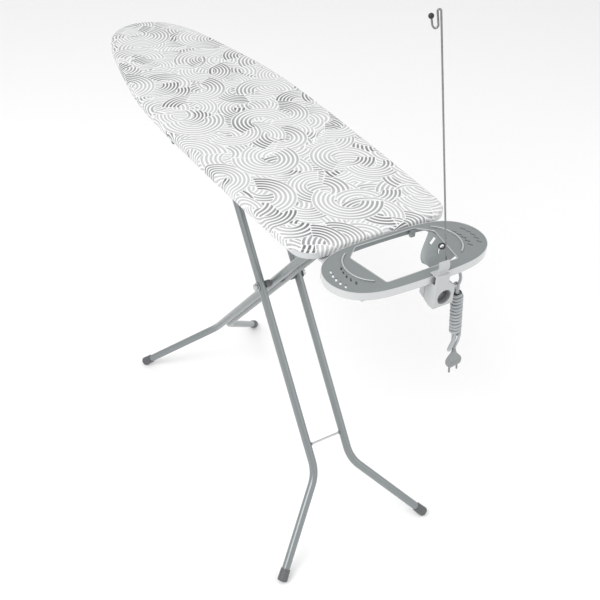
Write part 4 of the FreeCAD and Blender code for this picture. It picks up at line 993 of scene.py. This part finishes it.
# the sides of the legs that the top bar passes through, and how far a bead stands outside its bar
LEG_SIDES, BAR_BEAD = (0.0407, 0.0613), 0.0061


class BOARD_OT_fixings(bpy.types.Operator):
    """Rivet the rails, braces and brackets, and weld the stay and the top bar"""

    bl_idname = "board.fixings"
    bl_label = "Rivets and welds"

    def execute(self, context):
        rail_low, rail_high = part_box("rail_right")
        web = rail_high.z - 0.0015
        rail_y = (rail_low.y + rail_high.y) / 2
        brace_x = sorted({round(v.co.x, 3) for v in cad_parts["cross_braces"].data.vertices})
        middles = [(a + b) / 2 for a, b in zip(brace_x[::2], brace_x[1::2])]
        spots = [(x, side * rail_y, web) for x in middles for side in (-1, 1)]
        for node in ("hinge_bracket", "rest_cross_plates"):
            low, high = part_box(node)
            base = rail_low.z - 0.003
            xs = (low.x + 0.008, high.x - 0.008)
            spots += [(x, side * rail_y, base) for x in xs for side in (-1, 1)]
        self.rivets("board_rivets", spots)
        stay_low, stay_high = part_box("leg_b_cross_rod")
        middle = (stay_low + stay_high) / 2
        beads = [((middle.x, side * (stay_high.y - 0.0008), middle.z), (0, -side, 0), 0.0026)
                 for side in (-1, 1)]
        bar_low, bar_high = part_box("leg_b_top_bar")
        middle = (bar_low + bar_high) / 2
        inner, outer = LEG_SIDES
        beads += [((middle.x, y, middle.z), (0, way, 0), BAR_BEAD)
                  for y, way in ((inner, -1), (-inner, 1), (outer, 1), (-outer, -1))]
        self.beads("leg_b_welds", beads, "leg_b")
        return {"FINISHED"}

    def rivets(self, name, spots):
        """Domed heads on the board's sheet metal."""
        piece = new_piece(name, mesh_of(spots, []), None, smooth=False)
        node_tree_modifier(piece, rivet_tree(), Radius=RIVET_RADIUS, Flatness=0.45, Material=_materials["zinc"])
        settled(piece)

    def beads(self, name, places, body):
        """Rough fillets of weld round the ends of bars."""
        dice = random.Random(3)
        joined = bmesh.new()
        for place, way, radius in places:
            profile = [(-0.0004, radius), (0.0, radius + 0.0022), (0.0009, radius + 0.0016),
                       (0.0019, radius + 0.0006), (0.0024, radius)]
            mesh = turned(place, way, profile, 30)
            for vertex in mesh.vertices:
                out = vertex.co - Vector(place)
                vertex.co += out * dice.uniform(-0.05, 0.07)
            joined.from_mesh(mesh)
            bpy.data.meshes.remove(mesh)
        mesh = bpy.data.meshes.new(name)
        joined.to_mesh(mesh)
        joined.free()
        new_piece(name, mesh, "leg_paint", body)


REST_WINDOW = [(527, -68), (553, -97), (647, -80), (647, 80), (553, 97), (527, 68)]
REST_MIDDLE, REST_TOP = 595.0, 921.0
LIP_REACH, LIP_RADIUS, RIDGE_BEAD_RADIUS = 9, 0.0009, 0.0019
RIDGE_HALF, RIDGE_POWER, RIDGE_OPEN = (61.25, 124.25), 0.51, 96.0


class BOARD_OT_rest(bpy.types.Operator):
    """Make the iron rest's raised beads and the lip of its window, coloured lighter than the tray as a painted
    highlight along the ridges
    """

    bl_idname = "board.rest"
    bl_label = "Iron rest"

    def execute(self, context):
        corners = [Vector((x, y, REST_TOP)) for x, y in REST_WINDOW]
        lip = []
        for before, here, after in zip(corners[-1:] + corners[:-1], corners, corners[1:] + corners[:1]):
            lip += [here + (before - here).normalized() * LIP_REACH, here,
                    here + (after - here).normalized() * LIP_REACH]
        start = (corners[0] + corners[-1]) / 2
        lip = [point * MM for point in (start, *lip, start)]
        # the lip and the beads take the lighter plastic, a painted highlight along the ridges
        new_piece("rest_lip", curve_mesh(lip, LIP_RADIUS), "rest_ridge_painted_highlight")
        for side, hand in ((-1, "left"), (1, "right")):
            bead = []
            for k in range(61):
                turn = math.pi * (k / 60 - 0.5)
                y = RIDGE_HALF[1] * abs(math.cos(turn)) ** RIDGE_POWER
                if y > RIDGE_OPEN:
                    x = REST_MIDDLE - 9 + RIDGE_HALF[0] * math.sin(turn)
                    bead.append(Vector((x, side * y, REST_TOP + 0.6)) * MM)
            new_piece("rest_bead_" + hand, curve_mesh(bead, RIDGE_BEAD_RADIUS), "rest_ridge_painted_highlight")
        return {"FINISHED"}


CAMERA_AT = (1.63727, -0.88586, 1.85497)
CAMERA_LOOK = (math.radians(57.79), math.radians(37.73))
CAMERA_ROLL = math.radians(2.52)
FLOOR_REACH = 9.0
LAMP_TARGET = Vector((0.0, 0.0, 0.6))


class BOARD_OT_stage(bpy.types.Operator):
    """Make the camera, the pale floor and the soft light"""

    bl_idname = "board.stage"
    bl_label = "Stage"

    def execute(self, context):
        settings = context.scene.board_stage
        self.camera(context, settings)
        tree, principled, place = shader("pale_floor", Roughness=0.6, Specular_IOR_Level=0.2)
        haze = noise(tree, place, 1.5, 3.0, 0.5)
        tone = tuple(c * 0.985 for c in settings.floor)
        pale = mix_colour(tree, haze, (*settings.floor, 1.0), (*tone, 1.0))
        tree.links.new(pale, principled.inputs["Base Color"])
        mesh = bpy.data.meshes.new("floor")
        corners = [(x * FLOOR_REACH, y * FLOOR_REACH, 0) for x, y in ((-1, -1), (1, -1), (1, 1), (-1, 1))]
        mesh.from_pydata(corners, [], [(0, 1, 2, 3)])
        mesh.materials.append(_materials["pale_floor"])
        floor = bpy.data.objects.new("floor", mesh)
        context.scene.collection.objects.link(floor)
        self.lamp(context, "key", settings.key, 2.6, (0.9, -2.6, 3.4))
        self.lamp(context, "fill", settings.key * 0.35, 3.0, (2.8, 1.8, 2.6))
        world = context.scene.world or bpy.data.worlds.new("studio")
        context.scene.world = world
        world.use_nodes = True
        sky = world.node_tree.nodes["Background"]
        sky.inputs["Color"].default_value = (1.0, 1.0, 1.0, 1.0)
        sky.inputs["Strength"].default_value = settings.sky
        context.scene.view_settings.view_transform = "Standard"
        return {"FINISHED"}

    def camera(self, context, settings):
        """The camera, from where it stands, the way it looks and its roll."""
        data = bpy.data.cameras.new("camera")
        data.lens = settings.lens
        data.shift_x, data.shift_y = 0.0017, -0.0008
        camera = bpy.data.objects.new("camera", data)
        context.scene.collection.objects.link(camera)
        azimuth, elevation = CAMERA_LOOK
        ahead = Vector((-math.sin(azimuth) * math.cos(elevation), math.cos(azimuth) * math.cos(elevation),
                        -math.sin(elevation)))
        right = ahead.cross(Vector((0, 0, 1))).normalized()
        up = right.cross(ahead)
        rolled = math.cos(CAMERA_ROLL) * right + math.sin(CAMERA_ROLL) * up
        upright = rolled.cross(ahead)
        facing = Matrix((rolled, upright, -ahead)).transposed().to_4x4()
        camera.matrix_world = Matrix.Translation(CAMERA_AT) @ facing
        context.scene.camera = camera

    def lamp(self, context, name, power, size, place):
        """A square lamp that faces the board."""
        data = bpy.data.lights.new(name, "AREA")
        data.energy = power
        data.size = size
        lamp = bpy.data.objects.new(name, data)
        context.scene.collection.objects.link(lamp)
        lamp.location = place
        lamp.rotation_euler = (LAMP_TARGET - Vector(place)).to_track_quat("-Z", "Y").to_euler()


class BOARD_PT_panel(bpy.types.Panel):
    """Builds the ironing board piece by piece"""

    bl_idname = "BOARD_PT_panel"
    bl_label = "Ironing board"
    bl_space_type = "VIEW_3D"
    bl_region_type = "UI"
    bl_category = "Ironing board"

    def draw(self, context):
        for group in SETTINGS:
            box = self.layout.box()
            for key in SETTINGS[group].__annotations__:
                box.prop(getattr(context.scene, group), key)
        for operator in OPERATORS:
            self.layout.operator(operator.bl_idname)


SETTINGS = {"board_cover": CoverSettings, "board_finish": FinishSettings, "board_cord": CordSettings,
            "board_stage": StageSettings}
OPERATORS = (BOARD_OT_finishes, BOARD_OT_stage, BOARD_OT_cord, BOARD_OT_cover, BOARD_OT_pad, BOARD_OT_mesh_top,
             BOARD_OT_fixings, BOARD_OT_rest)


def register():
    for group, settings in SETTINGS.items():
        bpy.utils.register_class(settings)
        setattr(bpy.types.Scene, group, PointerProperty(type=settings))
    for operator in (*OPERATORS, BOARD_PT_panel):
        bpy.utils.register_class(operator)


def unregister():
    for operator in reversed((*OPERATORS, BOARD_PT_panel)):
        bpy.utils.unregister_class(operator)
    for group, settings in SETTINGS.items():
        delattr(bpy.types.Scene, group)
        bpy.utils.unregister_class(settings)


def main():
    """Builds everything in order."""
    register()
    for name in ("finishes", "stage", "cord", "cover", "pad", "mesh_top", "fixings", "rest"):
        getattr(bpy.ops.board, name)()


if __name__ == "__main__":
    main()
